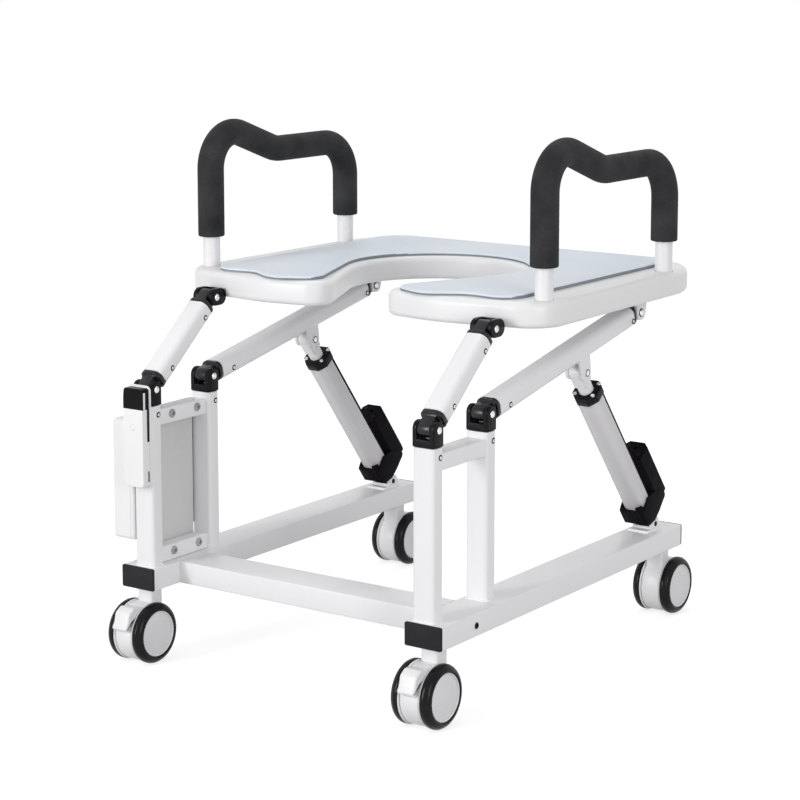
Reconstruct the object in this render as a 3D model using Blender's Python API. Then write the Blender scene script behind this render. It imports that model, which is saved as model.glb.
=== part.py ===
"""Powered toilet lift: a wheeled base, a tilting four-bar linkage on each side driven
by a linear actuator, a horseshoe seat with a thin pad and two padded hand rails.

Everything is in metres, Z up.  Along the lift, Y is measured back from the front
ends of the floor rails; the empty named lift moves that to the middle of the whole
outline.  X is across, with the right-hand side at plus X.
"""
import math

import bmesh
import bpy
from mathutils import Matrix

# Floor rails and the flat cross member between them
RAIL_X = 0.2116
RAIL_WIDTH = 0.050
RAIL_BOTTOM = 0.0918
RAIL_TOP = 0.1195
RAIL_LENGTH = 0.5675
TUBE_WALL = 0.002
CAP_FLANGE = 0.003
CAP_PLUG = 0.014
CROSS_FRONT = 0.0505
CROSS_BACK = 0.1045
CROSS_BOLT_Y = 0.071

# Casters: twin wheels either side of a round housing
CASTER_X = 0.2119
TYRE_RADIUS = 0.0375
HOUSING_RADIUS = 0.0358
HOUSING_HALF = 0.013
WHEEL_INNER = 0.0137
WHEEL_OUTER = 0.0279
DISC_RADIUS = 0.0278
AXLE_RADIUS = 0.004
TRAIL = 0.015
FRONT_AXLE_Y = 0.0081
REAR_AXLE_Y = 0.5623
SWIVEL_BLOCK = (0.022, 0.0154)
PEDAL_TIP_Y = -0.0355
PEDAL_PIVOT = (-0.0316, 0.0665)

# Posts, and the pivots on their cups
SIDE_X = 0.2065
POST_SECTION = (0.030, 0.020)
POST_CORNER = 0.005
FRONT_POST_Y = 0.0179
REAR_POST_Y = 0.1269
POST_TOP = 0.320
PIVOT_Z = 0.340
CUP_BODY = 0.011
EAR_RADIUS = 0.010
EAR_INNER = 0.0090
EAR_OUTER = 0.0150
PIN_RADIUS = 0.0040

# Arms and their end fittings
ARM_SECTION = (0.030, 0.025)
ARM_CORNER = 0.009
TUBE_SETBACK = 0.0193
FLANGE_START = 0.0135
SHOULDER_START = 0.0108
TONGUE_HALF = 0.0085
BARREL_RADIUS = 0.0095
FRONT_UPPER = (0.1345, 0.4383)
REAR_UPPER = (0.4773, 0.4117)

# Seat, pad and hand rails
SEAT_BOTTOM = 0.436
SEAT_TOP = 0.467
SEAT_EDGE = 0.010
HOLE_Y = 0.342
HOLE_RADIUS = 0.107
NECK_HALF = 0.055
NECK_BLEND = 0.042
PAD_TOP = 0.472
PAD_MARGIN = 0.006
HANDLE_X = 0.2484
HANDLE_FRONT_Y = 0.1945
HANDLE_REAR_Y = 0.4825
HANDLE_RADIUS = 0.011
HANDLE_SOCKET = 0.014
HANDLE_BOTTOM = SEAT_TOP - HANDLE_SOCKET + 0.0003
GRIP_RADIUS = 0.0169
GRIP_BOTTOM = 0.505
HANDLE_CREST = 0.6533
HANDLE_LEVEL = 0.607
HANDLE_DIP_Y = 0.3274

# Linear actuators
ACTUATOR_X = 0.2085
BASE_PIN = (0.521, 0.128)
TOP_PIN = (0.342, 0.355)
ACTUATOR_TUBE = 0.031
ACTUATOR_CORNER = 0.011
TUBE_FOOT = 0.034
TUBE_HEAD = 0.244
CAP_HEAD = 0.256
CAP_WIDTH = 0.035
GEARBOX_HALF = 0.0195
MOTOR_AXIS = 0.0345
MOTOR_HALF = 0.017
MOTOR_TOP = 0.098
ROD_RADIUS = 0.0095
EYE_RADIUS = 0.010
EYE_HALF = 0.0080
LUG_INNER = 0.0086
LUG_OUTER = 0.0120

# Control box, its frame on the left posts, and the handset
BAR_SECTION = (0.018, 0.020)
BAR_X = -0.207
UPPER_BAR_Z = 0.3026
LOWER_BAR_Z = 0.1299
BRACE_SECTION = (0.027, 0.020)
BRACE_Z = 0.302
BAR_BOLTS_Y = (0.0502, 0.0985)
PLATE = (-0.2190, -0.2163)
BOX_X = (-0.2540, -0.2222)
BOX_Y = (0.006, 0.139)
BOX_Z = (0.150, 0.300)
BOX_WALL = 0.0025
HANDSET_X = (-0.224, -0.191)
HANDSET_Y = (-0.009, 0.0027)
HANDSET_Z = (0.222, 0.344)
HOLDER_Y = (0.0030, 0.0057)
BUTTON = (-0.2094, 0.294)
BUTTON_RADIUS = 0.004
BUTTON_TRAVEL = 0.0010

# Clearance between pieces that touch
GAP = 0.0003

FRONT_REACH = PEDAL_TIP_Y
REAR_REACH = REAR_AXLE_Y + TYRE_RADIUS
CENTRE_Y = (FRONT_REACH + REAR_REACH) / 2

# Colour, roughness and metallic value of each finish
FINISHES = {
    "white_paint": ((0.84, 0.85, 0.86), 0.32, 0.0),
    "white_plastic": ((0.88, 0.88, 0.89), 0.42, 0.0),
    "black_plastic": ((0.018, 0.017, 0.019), 0.45, 0.0),
    "grey_sheet": ((0.42, 0.42, 0.43), 0.40, 0.0),
    "pad": ((0.56, 0.61, 0.69), 0.55, 0.0),
    "foam": ((0.028, 0.028, 0.030), 0.85, 0.0),
    "aluminium": ((0.62, 0.61, 0.63), 0.34, 0.9),
    "rubber": ((0.015, 0.014, 0.016), 0.50, 0.0),
    "circuit_board": ((0.02, 0.16, 0.07), 0.45, 0.0),
}


def clear_scene():
    """Start from an empty scene."""
    for old in list(bpy.data.objects):
        bpy.data.objects.remove(old)


def solid(mesh):
    """A new object from a bmesh, with its faces pointing outwards."""
    bmesh.ops.recalc_face_normals(mesh, faces=mesh.faces)
    data = bpy.data.meshes.new("shape")
    mesh.to_mesh(data)
    mesh.free()
    shape = bpy.data.objects.new("shape", data)
    bpy.context.collection.objects.link(shape)
    return shape


def combine(shape, tools, operation):
    """Join or cut a shape by each tool in turn, then drop the tools."""
    for tool in tools:
        modifier = shape.modifiers.new("combine", 'BOOLEAN')
        modifier.operation = operation
        modifier.solver = 'EXACT'
        modifier.object = tool
        graph = bpy.context.evaluated_depsgraph_get()
        result = bpy.data.meshes.new_from_object(shape.evaluated_get(graph))
        shape.modifiers.clear()
        shape.data = result
        bpy.data.objects.remove(tool)
    return shape


def join(shape, *tools):
    """The union of a shape and its tools."""
    return combine(shape, tools, 'UNION')


def cut(shape, *tools):
    """A shape with its tools taken out."""
    return combine(shape, tools, 'DIFFERENCE')


def point(first, second, along, axis):
    """A point of an outline that is drawn square to an axis."""
    if axis == 'X':
        return (along, first, second)
    if axis == 'Y':
        return (first, along, second)
    return (first, second, along)


def loft(rings, axis):
    """A solid through rings of (outline, place along the axis), closed at both ends."""
    mesh = bmesh.new()
    loops = []
    for outline, along in rings:
        loops.append([mesh.verts.new(point(a, b, along, axis)) for a, b in outline])
    for lower, upper in zip(loops, loops[1:]):
        for index in range(len(lower)):
            after = (index + 1) % len(lower)
            mesh.faces.new((lower[index], lower[after], upper[after], upper[index]))
    mesh.faces.new(loops[0])
    mesh.faces.new(loops[-1])
    return solid(mesh)


def prism(outline, low, high, axis, edge=0.0, steps=2):
    """An outline pulled along an axis, its end edges rounded by a radius."""
    mesh = bmesh.new()
    corners = [mesh.verts.new(point(a, b, low, axis)) for a, b in outline]
    start = mesh.faces.new(corners)
    pulled = bmesh.ops.extrude_face_region(mesh, geom=[start])["geom"]
    moved = [item for item in pulled if isinstance(item, bmesh.types.BMVert)]
    travel = point(0.0, 0.0, high - low, axis)
    bmesh.ops.translate(mesh, verts=moved, vec=travel)
    if edge:
        direction = {'X': 0, 'Y': 1, 'Z': 2}[axis]
        ends = [item for item in mesh.edges
                if abs(item.verts[0].co[direction] - item.verts[1].co[direction]) < 1e-7]
        bmesh.ops.bevel(mesh, geom=ends, offset=edge, segments=steps,
                        profile=0.5, affect='EDGES')
    return solid(mesh)


def rounded(corners, finest=45.0):
    """A closed outline through (x, y, radius) corners, turned in steps of some degrees."""
    outline = []
    count = len(corners)
    for index, (x, y, radius) in enumerate(corners):
        before = corners[index - 1]
        after = corners[(index + 1) % count]
        outline += bend((before[0], before[1]), (x, y), (after[0], after[1]), radius, finest)
    return outline


def bend(before, corner, after, radius, finest, steps=None):
    """The arc that rounds one corner, in so many steps or in steps of some degrees."""
    inward = direction_of(before, corner)
    outward = direction_of(corner, after)
    cross = inward[0] * outward[1] - inward[1] * outward[0]
    turn = math.atan2(cross, inward[0] * outward[0] + inward[1] * outward[1])
    if radius == 0.0:
        return [corner]
    reach = radius * math.tan(abs(turn) / 2)
    start = (corner[0] - inward[0] * reach, corner[1] - inward[1] * reach)
    side = math.copysign(radius, turn)
    centre = (start[0] - inward[1] * side, start[1] + inward[0] * side)
    steps = steps or max(1, math.ceil(abs(math.degrees(turn)) / finest))
    return [turned(start, centre, turn * step / steps) for step in range(steps + 1)]


def direction_of(start, end):
    """The unit direction from one point to another."""
    length = math.hypot(end[0] - start[0], end[1] - start[1])
    return ((end[0] - start[0]) / length, (end[1] - start[1]) / length)


def turned(spot, centre, angle):
    """A point turned about a centre."""
    x = spot[0] - centre[0]
    y = spot[1] - centre[1]
    return (centre[0] + x * math.cos(angle) - y * math.sin(angle),
            centre[1] + x * math.sin(angle) + y * math.cos(angle))


def box_section(width, height, corner=0.0, centre=(0.0, 0.0), finest=45.0):
    """A rectangle with rounded corners."""
    x = width / 2
    y = height / 2
    corners = [(centre[0] - x, centre[1] - y, corner), (centre[0] + x, centre[1] - y, corner),
               (centre[0] + x, centre[1] + y, corner), (centre[0] - x, centre[1] + y, corner)]
    return rounded(corners, finest)


def circle(radius, centre=(0.0, 0.0), sides=12):
    """A circle of straight sides."""
    turns = [2 * math.pi * index / sides for index in range(sides)]
    return [(centre[0] + radius * math.cos(turn), centre[1] + radius * math.sin(turn))
            for turn in turns]


def block(x, y, z, edge=0.0, steps=2):
    """A box between three pairs of limits."""
    outline = [(x[0], y[0]), (x[1], y[0]), (x[1], y[1]), (x[0], y[1])]
    return prism(outline, z[0], z[1], 'Z', edge, steps)


def spun(profile, sides, centre=(0.0, 0.0)):
    """A round piece about X, from (place along X, radius) points."""
    rings = []
    for along, radius in profile:
        rings.append((circle(radius, centre, sides), along))
    return loft(rings, 'X')


def hub(name, location, angle=0.0, turn=0.0, parent=None):
    """An empty on a joint's axis, which carries the pieces that move with it."""
    empty = bpy.data.objects.new(name, None)
    bpy.context.collection.objects.link(empty)
    empty.location = location
    empty.rotation_euler = (angle, 0.0, turn)
    empty.parent = parent
    return empty


def node(name, shape, finish, carrier, shift=(0.0, 0.0, 0.0)):
    """Name a finished shape, colour it and hang it on its carrier."""
    shape.name = name
    shape.data.name = name
    shape.parent = carrier
    shape.location = shift
    shape.data.shade_smooth()
    shape.data.set_sharp_from_angle(angle=math.radians(35))
    colour, roughness, metallic = FINISHES[finish]
    material = bpy.data.materials.new(name)
    material.use_nodes = True
    shader = material.node_tree.nodes["Principled BSDF"]
    shader.inputs["Base Color"].default_value = (*colour, 1.0)
    shader.inputs["Roughness"].default_value = roughness
    shader.inputs["Metallic"].default_value = metallic
    material.diffuse_color = (*colour, 1.0)
    shape.data.materials.clear()
    shape.data.materials.append(material)


def side_name(side):
    """The name of a side, right at plus X."""
    return "right" if side > 0 else "left"


# Base frame

def rail(side):
    """A floor rail: an open rectangular tube with the actuator's bracket welded on top."""
    x = side * RAIL_X
    height = RAIL_TOP - RAIL_BOTTOM
    middle = (x, (RAIL_TOP + RAIL_BOTTOM) / 2)
    ends = (CAP_FLANGE + GAP, RAIL_LENGTH - CAP_FLANGE - GAP)
    tube = prism(box_section(RAIL_WIDTH, height, 0.003, middle), ends[0], ends[1], 'Y')
    bore = prism(box_section(RAIL_WIDTH - 2 * TUBE_WALL, height - 2 * TUBE_WALL, 0.0, middle),
                 ends[0] - 0.01, ends[1] + 0.01, 'Y')
    tube = cut(tube, bore)
    outer = side * (RAIL_X + RAIL_WIDTH / 2)
    bolt = prism(circle(0.0055, (CROSS_BOLT_Y, middle[1]), 12),
                 min(outer - side * 0.001, outer + side * 0.0025),
                 max(outer - side * 0.001, outer + side * 0.0025), 'X', 0.0008, 1)
    return join(tube, bolt, actuator_bracket(side))


def actuator_bracket(side):
    """Two ears and a pin, on a foot, that hold the actuator's lower end."""
    x = side * ACTUATOR_X
    y, z = BASE_PIN
    foot = RAIL_TOP - 0.001
    ear = rounded([(y - 0.013, foot, 0.0), (y + 0.013, foot, 0.0),
                   (y + 0.0075, z + 0.0085, 0.006), (y - 0.0075, z + 0.0085, 0.006)])
    ears = [prism(ear, x + low, x + low + 0.0035, 'X') for low in (-0.0120, 0.0085)]
    pin = prism(circle(PIN_RADIUS, (y, z)), x - 0.014, x + 0.014, 'X')
    return join(ears[0], pin, ears[1])


def rail_cap(side, front):
    """A plastic end cap with its plug inside the rail."""
    x = side * RAIL_X
    height = RAIL_TOP - RAIL_BOTTOM
    middle = (x, (RAIL_TOP + RAIL_BOTTOM) / 2)
    face = (0.0, CAP_FLANGE) if front else (RAIL_LENGTH - CAP_FLANGE, RAIL_LENGTH)
    plug_width = RAIL_WIDTH - 2 * TUBE_WALL - 2 * GAP
    plug_height = height - 2 * TUBE_WALL - 2 * GAP
    inner = (0.002, CAP_PLUG) if front else (RAIL_LENGTH - CAP_PLUG, RAIL_LENGTH - 0.002)
    flange = prism(box_section(RAIL_WIDTH, height, 0.003, middle), face[0], face[1], 'Y', 0.0012)
    plug = prism(box_section(plug_width, plug_height, 0.0, middle), inner[0], inner[1], 'Y')
    return join(flange, plug)


def cross_member():
    """The flat tube that ties the two rails together near their front ends."""
    height = RAIL_TOP - RAIL_BOTTOM
    reach = RAIL_X - RAIL_WIDTH / 2 - GAP
    middle = ((CROSS_FRONT + CROSS_BACK) / 2, (RAIL_TOP + RAIL_BOTTOM) / 2)
    width = CROSS_BACK - CROSS_FRONT
    tube = prism(box_section(width, height, 0.003, middle), -reach, reach, 'X')
    bore = prism(box_section(width - 2 * TUBE_WALL, height - 2 * TUBE_WALL, 0.0, middle),
                 -reach - 0.01, reach + 0.01, 'X')
    return cut(tube, bore)


def post_frame(side):
    """Two upright tubes, welded together by the bars between them."""
    x = side * SIDE_X
    posts = [prism(box_section(*POST_SECTION, POST_CORNER, (x, y)), RAIL_TOP + GAP,
                   POST_TOP - GAP, 'Z') for y in (FRONT_POST_Y, REAR_POST_Y)]
    frame = posts[0]
    run = (FRONT_POST_Y + 0.005, REAR_POST_Y - 0.005)
    if side > 0:
        bars = [brace(0.2055, BRACE_Z, BRACE_SECTION, run)]
    else:
        bars = [bolted_bar(UPPER_BAR_Z, run), bolted_bar(LOWER_BAR_Z, run)]
    frame = join(frame, *bars, posts[1])
    bores = [prism(box_section(POST_SECTION[0] - 2 * TUBE_WALL, POST_SECTION[1] - 2 * TUBE_WALL,
                               0.003, (x, y)), RAIL_TOP + 0.004, POST_TOP + 0.01, 'Z')
             for y in (FRONT_POST_Y, REAR_POST_Y)]
    return cut(frame, *bores)


def brace(x, z, section, run):
    """A bar of rectangular tube between the posts."""
    return prism(box_section(*section, 0.0015, (x, z)), run[0], run[1], 'Y')


def bolted_bar(z, run):
    """A bar of the control box's frame, with the two bolt heads on its inner face."""
    bar = brace(BAR_X, z, BAR_SECTION, run)
    inner = BAR_X + BAR_SECTION[0] / 2
    heads = [prism(circle(0.0048, (y, z), 6), inner - 0.001, inner + 0.0035, 'X')
             for y in BAR_BOLTS_Y]
    return join(bar, *heads)


def clevis_ears(pivot, outline_of, radius=PIN_RADIUS, inner=EAR_INNER, outer=EAR_OUTER):
    """Two ears with a pin through them, centred on X = 0."""
    ears = [prism(outline_of, -outer, -inner, 'X'), prism(outline_of, inner, outer, 'X')]
    pin = prism(circle(radius, pivot), -outer - 0.0012, outer + 0.0012, 'X')
    return join(ears[0], pin, ears[1])


def post_cup():
    """The clevis cap on a post, with its plug in the tube and the hinge pin."""
    low = POST_TOP + GAP
    ear = rounded([(-EAR_RADIUS, low + 0.002, 0.0), (EAR_RADIUS, low + 0.002, 0.0),
                   (EAR_RADIUS, PIVOT_Z + EAR_RADIUS, EAR_RADIUS * 0.95),
                   (-EAR_RADIUS, PIVOT_Z + EAR_RADIUS, EAR_RADIUS * 0.95)])
    cup = prism(box_section(*POST_SECTION, POST_CORNER), low, POST_TOP + CUP_BODY - 0.0015, 'Z')
    plug = prism(box_section(POST_SECTION[0] - 2 * TUBE_WALL - 2 * GAP,
                             POST_SECTION[1] - 2 * TUBE_WALL - 2 * GAP, 0.0027),
                 POST_TOP - 0.012, low + 0.002, 'Z')
    return join(cup, plug, clevis_ears((0.0, PIVOT_Z), ear))


# Casters

def caster_housing(braked):
    """The round body between the wheels, with its swivel block; origin under the swivel."""
    axle = (-TRAIL, TYRE_RADIUS)
    body = prism(circle(HOUSING_RADIUS, axle, 28), -HOUSING_HALF, HOUSING_HALF, 'X', 0.0015, 1)
    neck = prism(box_section(*SWIVEL_BLOCK, 0.004), 0.060, RAIL_BOTTOM - GAP, 'Z')
    body = join(body, neck)
    if braked:
        y = -FRONT_AXLE_Y - TRAIL
        pocket = [(y - 0.0025, 0.080), (y - 0.045, 0.080), (y - 0.045, 0.043), (y - 0.019, 0.043),
                  (y - 0.014, 0.0525), (y - 0.006, 0.060), (y - 0.0025, 0.063)]
        body = cut(body, prism(pocket, -0.02, 0.02, 'X'))
        rib = rounded([(y - 0.0135, 0.0510, 0.0), (y - 0.0055, 0.0595, 0.0),
                       (y - 0.0058, 0.0689, 0.0025), (y - 0.0113, 0.0689, 0.0025)])
        pin = prism(circle(0.002, PEDAL_PIVOT, 10), -0.0105, 0.0105, 'X')
        body = join(body, prism(rib, -0.004, 0.004, 'X'), pin)
    bore = prism(circle(AXLE_RADIUS + 0.0004, axle), -0.02, 0.02, 'X')
    return cut(body, bore)


def brake_pedal():
    """The foot pedal over the front of a braked caster, in the caster's own frame."""
    tip = PEDAL_TIP_Y - FRONT_AXLE_Y - TRAIL
    outline = rounded([(tip, 0.0515, 0.0015), (tip + 0.0010, 0.0478, 0.0010),
                       (tip + 0.0055, 0.0495, 0.0020), (tip + 0.0125, 0.0560, 0.0040),
                       (tip + 0.0235, 0.0615, 0.0), (tip + 0.0325, 0.0665, 0.0015),
                       (tip + 0.0320, 0.0710, 0.0015), (tip + 0.0205, 0.0735, 0.0050),
                       (tip + 0.0145, 0.0690, 0.0150)])
    pedal = prism(outline, -HOUSING_HALF, HOUSING_HALF, 'X', 0.0008, 1)
    slot = block((-0.0045, 0.0045), (tip + 0.0215, tip + 0.05), (0.040, 0.0695))
    bore = prism(circle(0.0024, PEDAL_PIVOT, 10), -0.0110, 0.0110, 'X')
    return cut(pedal, slot, bore)


def wheel_pair():
    """Two wheels on one axle, turned about X; origin on the axle."""
    half = [(WHEEL_OUTER, DISC_RADIUS), (0.0255, 0.0340), (0.0205, TYRE_RADIUS),
            (0.0165, 0.0366), (WHEEL_INNER, 0.0335), (WHEEL_INNER, AXLE_RADIUS)]
    left = [(-along, radius) for along, radius in half]
    return spun(left + half[::-1], 24)


def caster(name, x, axle_y, facing, base):
    """One caster, facing forwards or back, with a brake on the front ones."""
    swivel_y = axle_y + facing * TRAIL
    turn = 0.0 if facing > 0 else math.pi
    swivel = hub(name + "_swivel", (x, swivel_y, 0.0), turn=turn, parent=base)
    axle = hub(name + "_axle", (0.0, -TRAIL, TYRE_RADIUS), parent=swivel)
    node(name + "_housing", caster_housing(facing > 0), "white_plastic", swivel)
    node(name + "_wheels", wheel_pair(), "rubber", axle)
    if facing > 0:
        y, z = PEDAL_PIVOT
        pedal = hub(name + "_pedal_axis", (0.0, y, z), parent=swivel)
        node(name + "_brake_pedal", brake_pedal(), "white_plastic", pedal, (0.0, -y, -z))


# Arms

def knuckle(shoulder_start):
    """An arm's end fitting; origin on the pin, with the arm running along plus Y."""
    width, height = ARM_SECTION
    flange = prism(box_section(width, height, ARM_CORNER), FLANGE_START, TUBE_SETBACK - GAP, 'Y')
    shoulder = loft([(box_section(2 * TONGUE_HALF + 0.0004, 2 * BARREL_RADIUS + 0.0006, 0.004),
                      shoulder_start),
                     (box_section(width - 0.001, height - 0.001, 0.008), FLANGE_START + 0.001)], 'Y')
    reach = BARREL_RADIUS
    eye = rounded([(-reach, -reach, reach * 0.99), (shoulder_start + 0.001, -reach, 0.0),
                   (shoulder_start + 0.001, reach, 0.0), (-reach, reach, reach * 0.99)], 30.0)
    plug = prism(box_section(width - 2 * TUBE_WALL - 2 * GAP, height - 2 * TUBE_WALL - 2 * GAP,
                             0.0068), FLANGE_START + 0.001, TUBE_SETBACK + 0.012, 'Y')
    return join(flange, shoulder, prism(eye, -TONGUE_HALF, TONGUE_HALF, 'X'), plug)


def arm_end(open_pivot=False):
    """An end fitting with its bore; the bore is wide where the linkage is opened."""
    clearance = 0.0021 if open_pivot else 0.00035
    setback = 0.0012 if open_pivot else 0.0
    bore = prism(circle(PIN_RADIUS + clearance), -0.02, 0.02, 'X')
    return cut(knuckle(SHOULDER_START + setback), bore)


def arm_tube(length):
    """The oval tube between two end fittings; origin on the lower pin."""
    width, height = ARM_SECTION
    ends = (TUBE_SETBACK, length - TUBE_SETBACK)
    tube = prism(box_section(width, height, ARM_CORNER), ends[0], ends[1], 'Y')
    bore = prism(box_section(width - 2 * TUBE_WALL, height - 2 * TUBE_WALL, ARM_CORNER - TUBE_WALL),
                 ends[0] - 0.01, ends[1] + 0.01, 'Y')
    return tube, bore


def actuator_lug(pin):
    """The two ears under a long arm that take the rod's eye, in the arm's frame."""
    along, down = pin
    top = -ARM_SECTION[1] / 2 + 0.008
    ear = rounded([(along - 0.013, top, 0.0), (along - 0.0105, down - 0.0095, 0.009),
                   (along + 0.0105, down - 0.0095, 0.009), (along + 0.013, top, 0.0)])
    offset = ACTUATOR_X - SIDE_X
    ears = []
    for direction in (-1, 1):
        inner = offset + direction * LUG_INNER
        outer = offset + direction * LUG_OUTER
        head = offset + direction * (LUG_OUTER + 0.002)
        plate = prism(ear, min(inner, outer), max(inner, outer), 'X')
        boss = prism(circle(0.0048, (along, down), 12), min(inner, head), max(inner, head), 'X')
        ears.append(join(plate, boss))
    return ears


def arm(name, x, lower, upper, base, lug=False):
    """An arm with both end fittings, on an empty at its lower pin."""
    run = (upper[0] - lower[0], upper[1] - lower[1])
    length = math.hypot(*run)
    angle = math.atan2(run[1], run[0])
    axis = hub(name + "_axis", (x, *lower), angle, parent=base)
    tube, bore = arm_tube(length)
    if lug:
        spot = (TOP_PIN[0] - lower[0], TOP_PIN[1] - lower[1])
        along, down = turned(spot, (0.0, 0.0), -angle)
        ears = actuator_lug((along, down))
        if x < 0:
            for ear in ears:
                mirror_across(ear)
        tube = join(tube, *ears)
    node(name + "_tube", cut(tube, bore), "white_paint", axis)
    node(name + "_lower_end", arm_end(), "black_plastic", axis)
    far = arm_end(open_pivot=not lug)
    far.data.transform(Matrix.Translation((0.0, length, 0.0)) @ Matrix.Rotation(math.pi, 4, 'X'))
    node(name + "_upper_end", far, "black_plastic", axis)


def mirror_across(shape):
    """Mirror a shape in X, keeping its faces outwards."""
    shape.data.transform(Matrix.Scale(-1.0, 4, (1.0, 0.0, 0.0)))
    shape.data.flip_normals()


# Seat

def opening(neck, radius, blend):
    """Half of the horseshoe's inner edge, from the back of the hole round to the neck."""
    centre_x = neck + blend
    centre_y = HOLE_Y - math.sqrt((radius + blend) ** 2 - centre_x ** 2)
    touch = math.atan2(centre_y - HOLE_Y, centre_x)
    points = [turned((0.0, HOLE_Y + radius), (0.0, HOLE_Y), (touch - math.pi / 2) * step / 14)
              for step in range(14)]
    start = (radius * math.cos(touch), HOLE_Y + radius * math.sin(touch))
    points += [turned(start, (centre_x, centre_y), -touch * step / 5) for step in range(6)]
    return points


def horseshoe(neck, radius, blend, corners):
    """A closed outline, mirrored in X, from its opening and its right-hand outer corners."""
    right = opening(neck, radius, blend)
    path = [right[-1]] + [corner[:2] for corner in corners] + [(0.0, corners[-1][1])]
    for index, (x, y, rounding, steps) in enumerate(corners):
        right += bend(path[index], (x, y), path[index + 2], rounding, None, steps)
    right.append(path[-1])
    return right + [(-x, y) for x, y in right[-2:0:-1]]


def seat_outline(inset):
    """The seat's outline, drawn in by an inset."""
    corners = [(NECK_HALF + inset, 0.150 + inset, 0.022 - inset, 4),
               (0.130, 0.133 + inset, 0.200, 3), (0.272 - inset, 0.156 + inset, 0.048 - inset, 5),
               (0.264 - inset, 0.585 - inset, 0.095 - inset, 7)]
    return horseshoe(NECK_HALF + inset, HOLE_RADIUS + inset, NECK_BLEND - inset, corners)


def pad_outline(inset):
    """The pad's outline: a tongue over each front corner, then straight sides."""
    neck = NECK_HALF + PAD_MARGIN + inset
    corners = [(neck, 0.160 + inset, 0.014 - inset, 3), (0.118, 0.139 + inset, 0.034, 4),
               (0.168, 0.163 + inset, 0.040, 3), (0.225 - inset, 0.167 + inset, 0.018 - inset, 4),
               (0.225 - inset, 0.560 - inset, 0.040 - inset, 4)]
    return horseshoe(neck, HOLE_RADIUS + PAD_MARGIN + inset, NECK_BLEND - PAD_MARGIN - inset, corners)


def seat_shell():
    """The moulded seat slab, with sockets for the rails and recesses for the front clevises."""
    rings = []
    for low, centre, turns in ((True, SEAT_BOTTOM + SEAT_EDGE, (0, 45, 90)),
                               (False, SEAT_TOP - SEAT_EDGE, (90, 55, 25, 0))):
        for turn in turns:
            angle = math.radians(turn)
            inset = SEAT_EDGE * (1 - math.sin(angle))
            rise = SEAT_EDGE * math.cos(angle)
            rings.append((seat_outline(inset), centre - rise if low else centre + rise))
    slab = loft(rings, 'Z')
    sockets = [prism(circle(HANDLE_RADIUS + GAP, (side * HANDLE_X, y)), SEAT_TOP - HANDLE_SOCKET,
                     SEAT_TOP + 0.01, 'Z') for side in (-1, 1)
               for y in (HANDLE_FRONT_Y, HANDLE_REAR_Y)]
    recesses = [block(sorted((side * 0.1903, side * 0.2227)), (0.10, 0.1593), (0.42, 0.4502))
                for side in (-1, 1)]
    return cut(slab, *sockets, *recesses)


def seat_pad():
    """The thin soft pad: sides drawn in under a rounded rim, and a slight crown."""
    profile = [(0.0012, SEAT_TOP + GAP), (0.0, 0.4688), (0.0004, 0.4702), (0.0016, 0.4712),
               (0.0045, 0.4717), (0.0120, PAD_TOP)]
    return loft([(pad_outline(inset), z) for inset, z in profile], 'Z')


def front_bracket():
    """The clevis in the seat's front edge; centred on X = 0."""
    y, z = FRONT_UPPER
    radius = 0.0105
    ear = rounded([(y - radius, z - radius, radius * 0.98), (0.1588, z - radius, radius * 0.98),
                   (0.1588, z + 0.0112, radius * 0.98), (y - radius, z + 0.0112, radius * 0.98)])
    clevis = clevis_ears(FRONT_UPPER, ear)
    bridge = rounded([(0.1465, z - 0.009, 0.002), (0.1580, z - 0.009, 0.004),
                      (0.1580, z + 0.0100, 0.004), (0.1465, z + 0.0100, 0.002)])
    return join(clevis, prism(bridge, -EAR_OUTER + 0.001, EAR_OUTER - 0.001, 'X'))


def rear_bracket():
    """The clevis that hangs under the seat; centred on X = 0."""
    y, z = REAR_UPPER
    plate_top = SEAT_BOTTOM - GAP
    ear = rounded([(y - 0.0095, z - 0.0095, 0.009), (y + 0.0095, z - 0.0095, 0.009),
                   (y + 0.0170, plate_top - 0.002, 0.0), (y - 0.0105, plate_top - 0.002, 0.0)])
    clevis = clevis_ears(REAR_UPPER, ear, outer=EAR_OUTER - 0.001)
    plate = block((-0.0155, 0.0155), (y - 0.024, y + 0.024), (plate_top - 0.0035, plate_top))
    return join(clevis, plate)


def handle_path():
    """The hand rail's middle line, as (y, z) points from the front leg to the rear one."""
    corners = [(HANDLE_FRONT_Y, HANDLE_CREST, 0.045, 8), (HANDLE_DIP_Y, HANDLE_LEVEL, 0.060, 2),
               (HANDLE_REAR_Y, HANDLE_LEVEL, 0.047, 6)]
    ends = ((HANDLE_FRONT_Y, HANDLE_BOTTOM), (HANDLE_REAR_Y, HANDLE_BOTTOM))
    path = [ends[0]] + [corner[:2] for corner in corners] + [ends[1]]
    points = []
    for index, (y, z, rounding, steps) in enumerate(corners):
        points += bend(path[index], (y, z), path[index + 2], rounding, None, steps)
    return points


def pipe(points, radius, sides):
    """A round bar about a flat path of (y, z) points, square at both ends."""
    mesh = bmesh.new()
    loops = []
    for index, (y, z) in enumerate(points):
        before = points[max(index - 1, 0)]
        after = points[min(index + 1, len(points) - 1)]
        along = direction_of(before, after)
        loops.append([mesh.verts.new((x, y - along[1] * out, z + along[0] * out))
                      for x, out in circle(radius, sides=sides)])
    for lower, upper in zip(loops, loops[1:]):
        for index in range(sides):
            after = (index + 1) % sides
            mesh.faces.new((lower[index], lower[after], upper[after], upper[index]))
    mesh.faces.new(loops[0])
    mesh.faces.new(loops[-1])
    return solid(mesh)


def hand_rail():
    """A bent steel rail, down into its two sockets in the seat."""
    ends = ((HANDLE_FRONT_Y, HANDLE_BOTTOM), (HANDLE_REAR_Y, HANDLE_BOTTOM))
    return pipe([ends[0]] + handle_path() + [ends[1]], HANDLE_RADIUS, 12)


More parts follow.
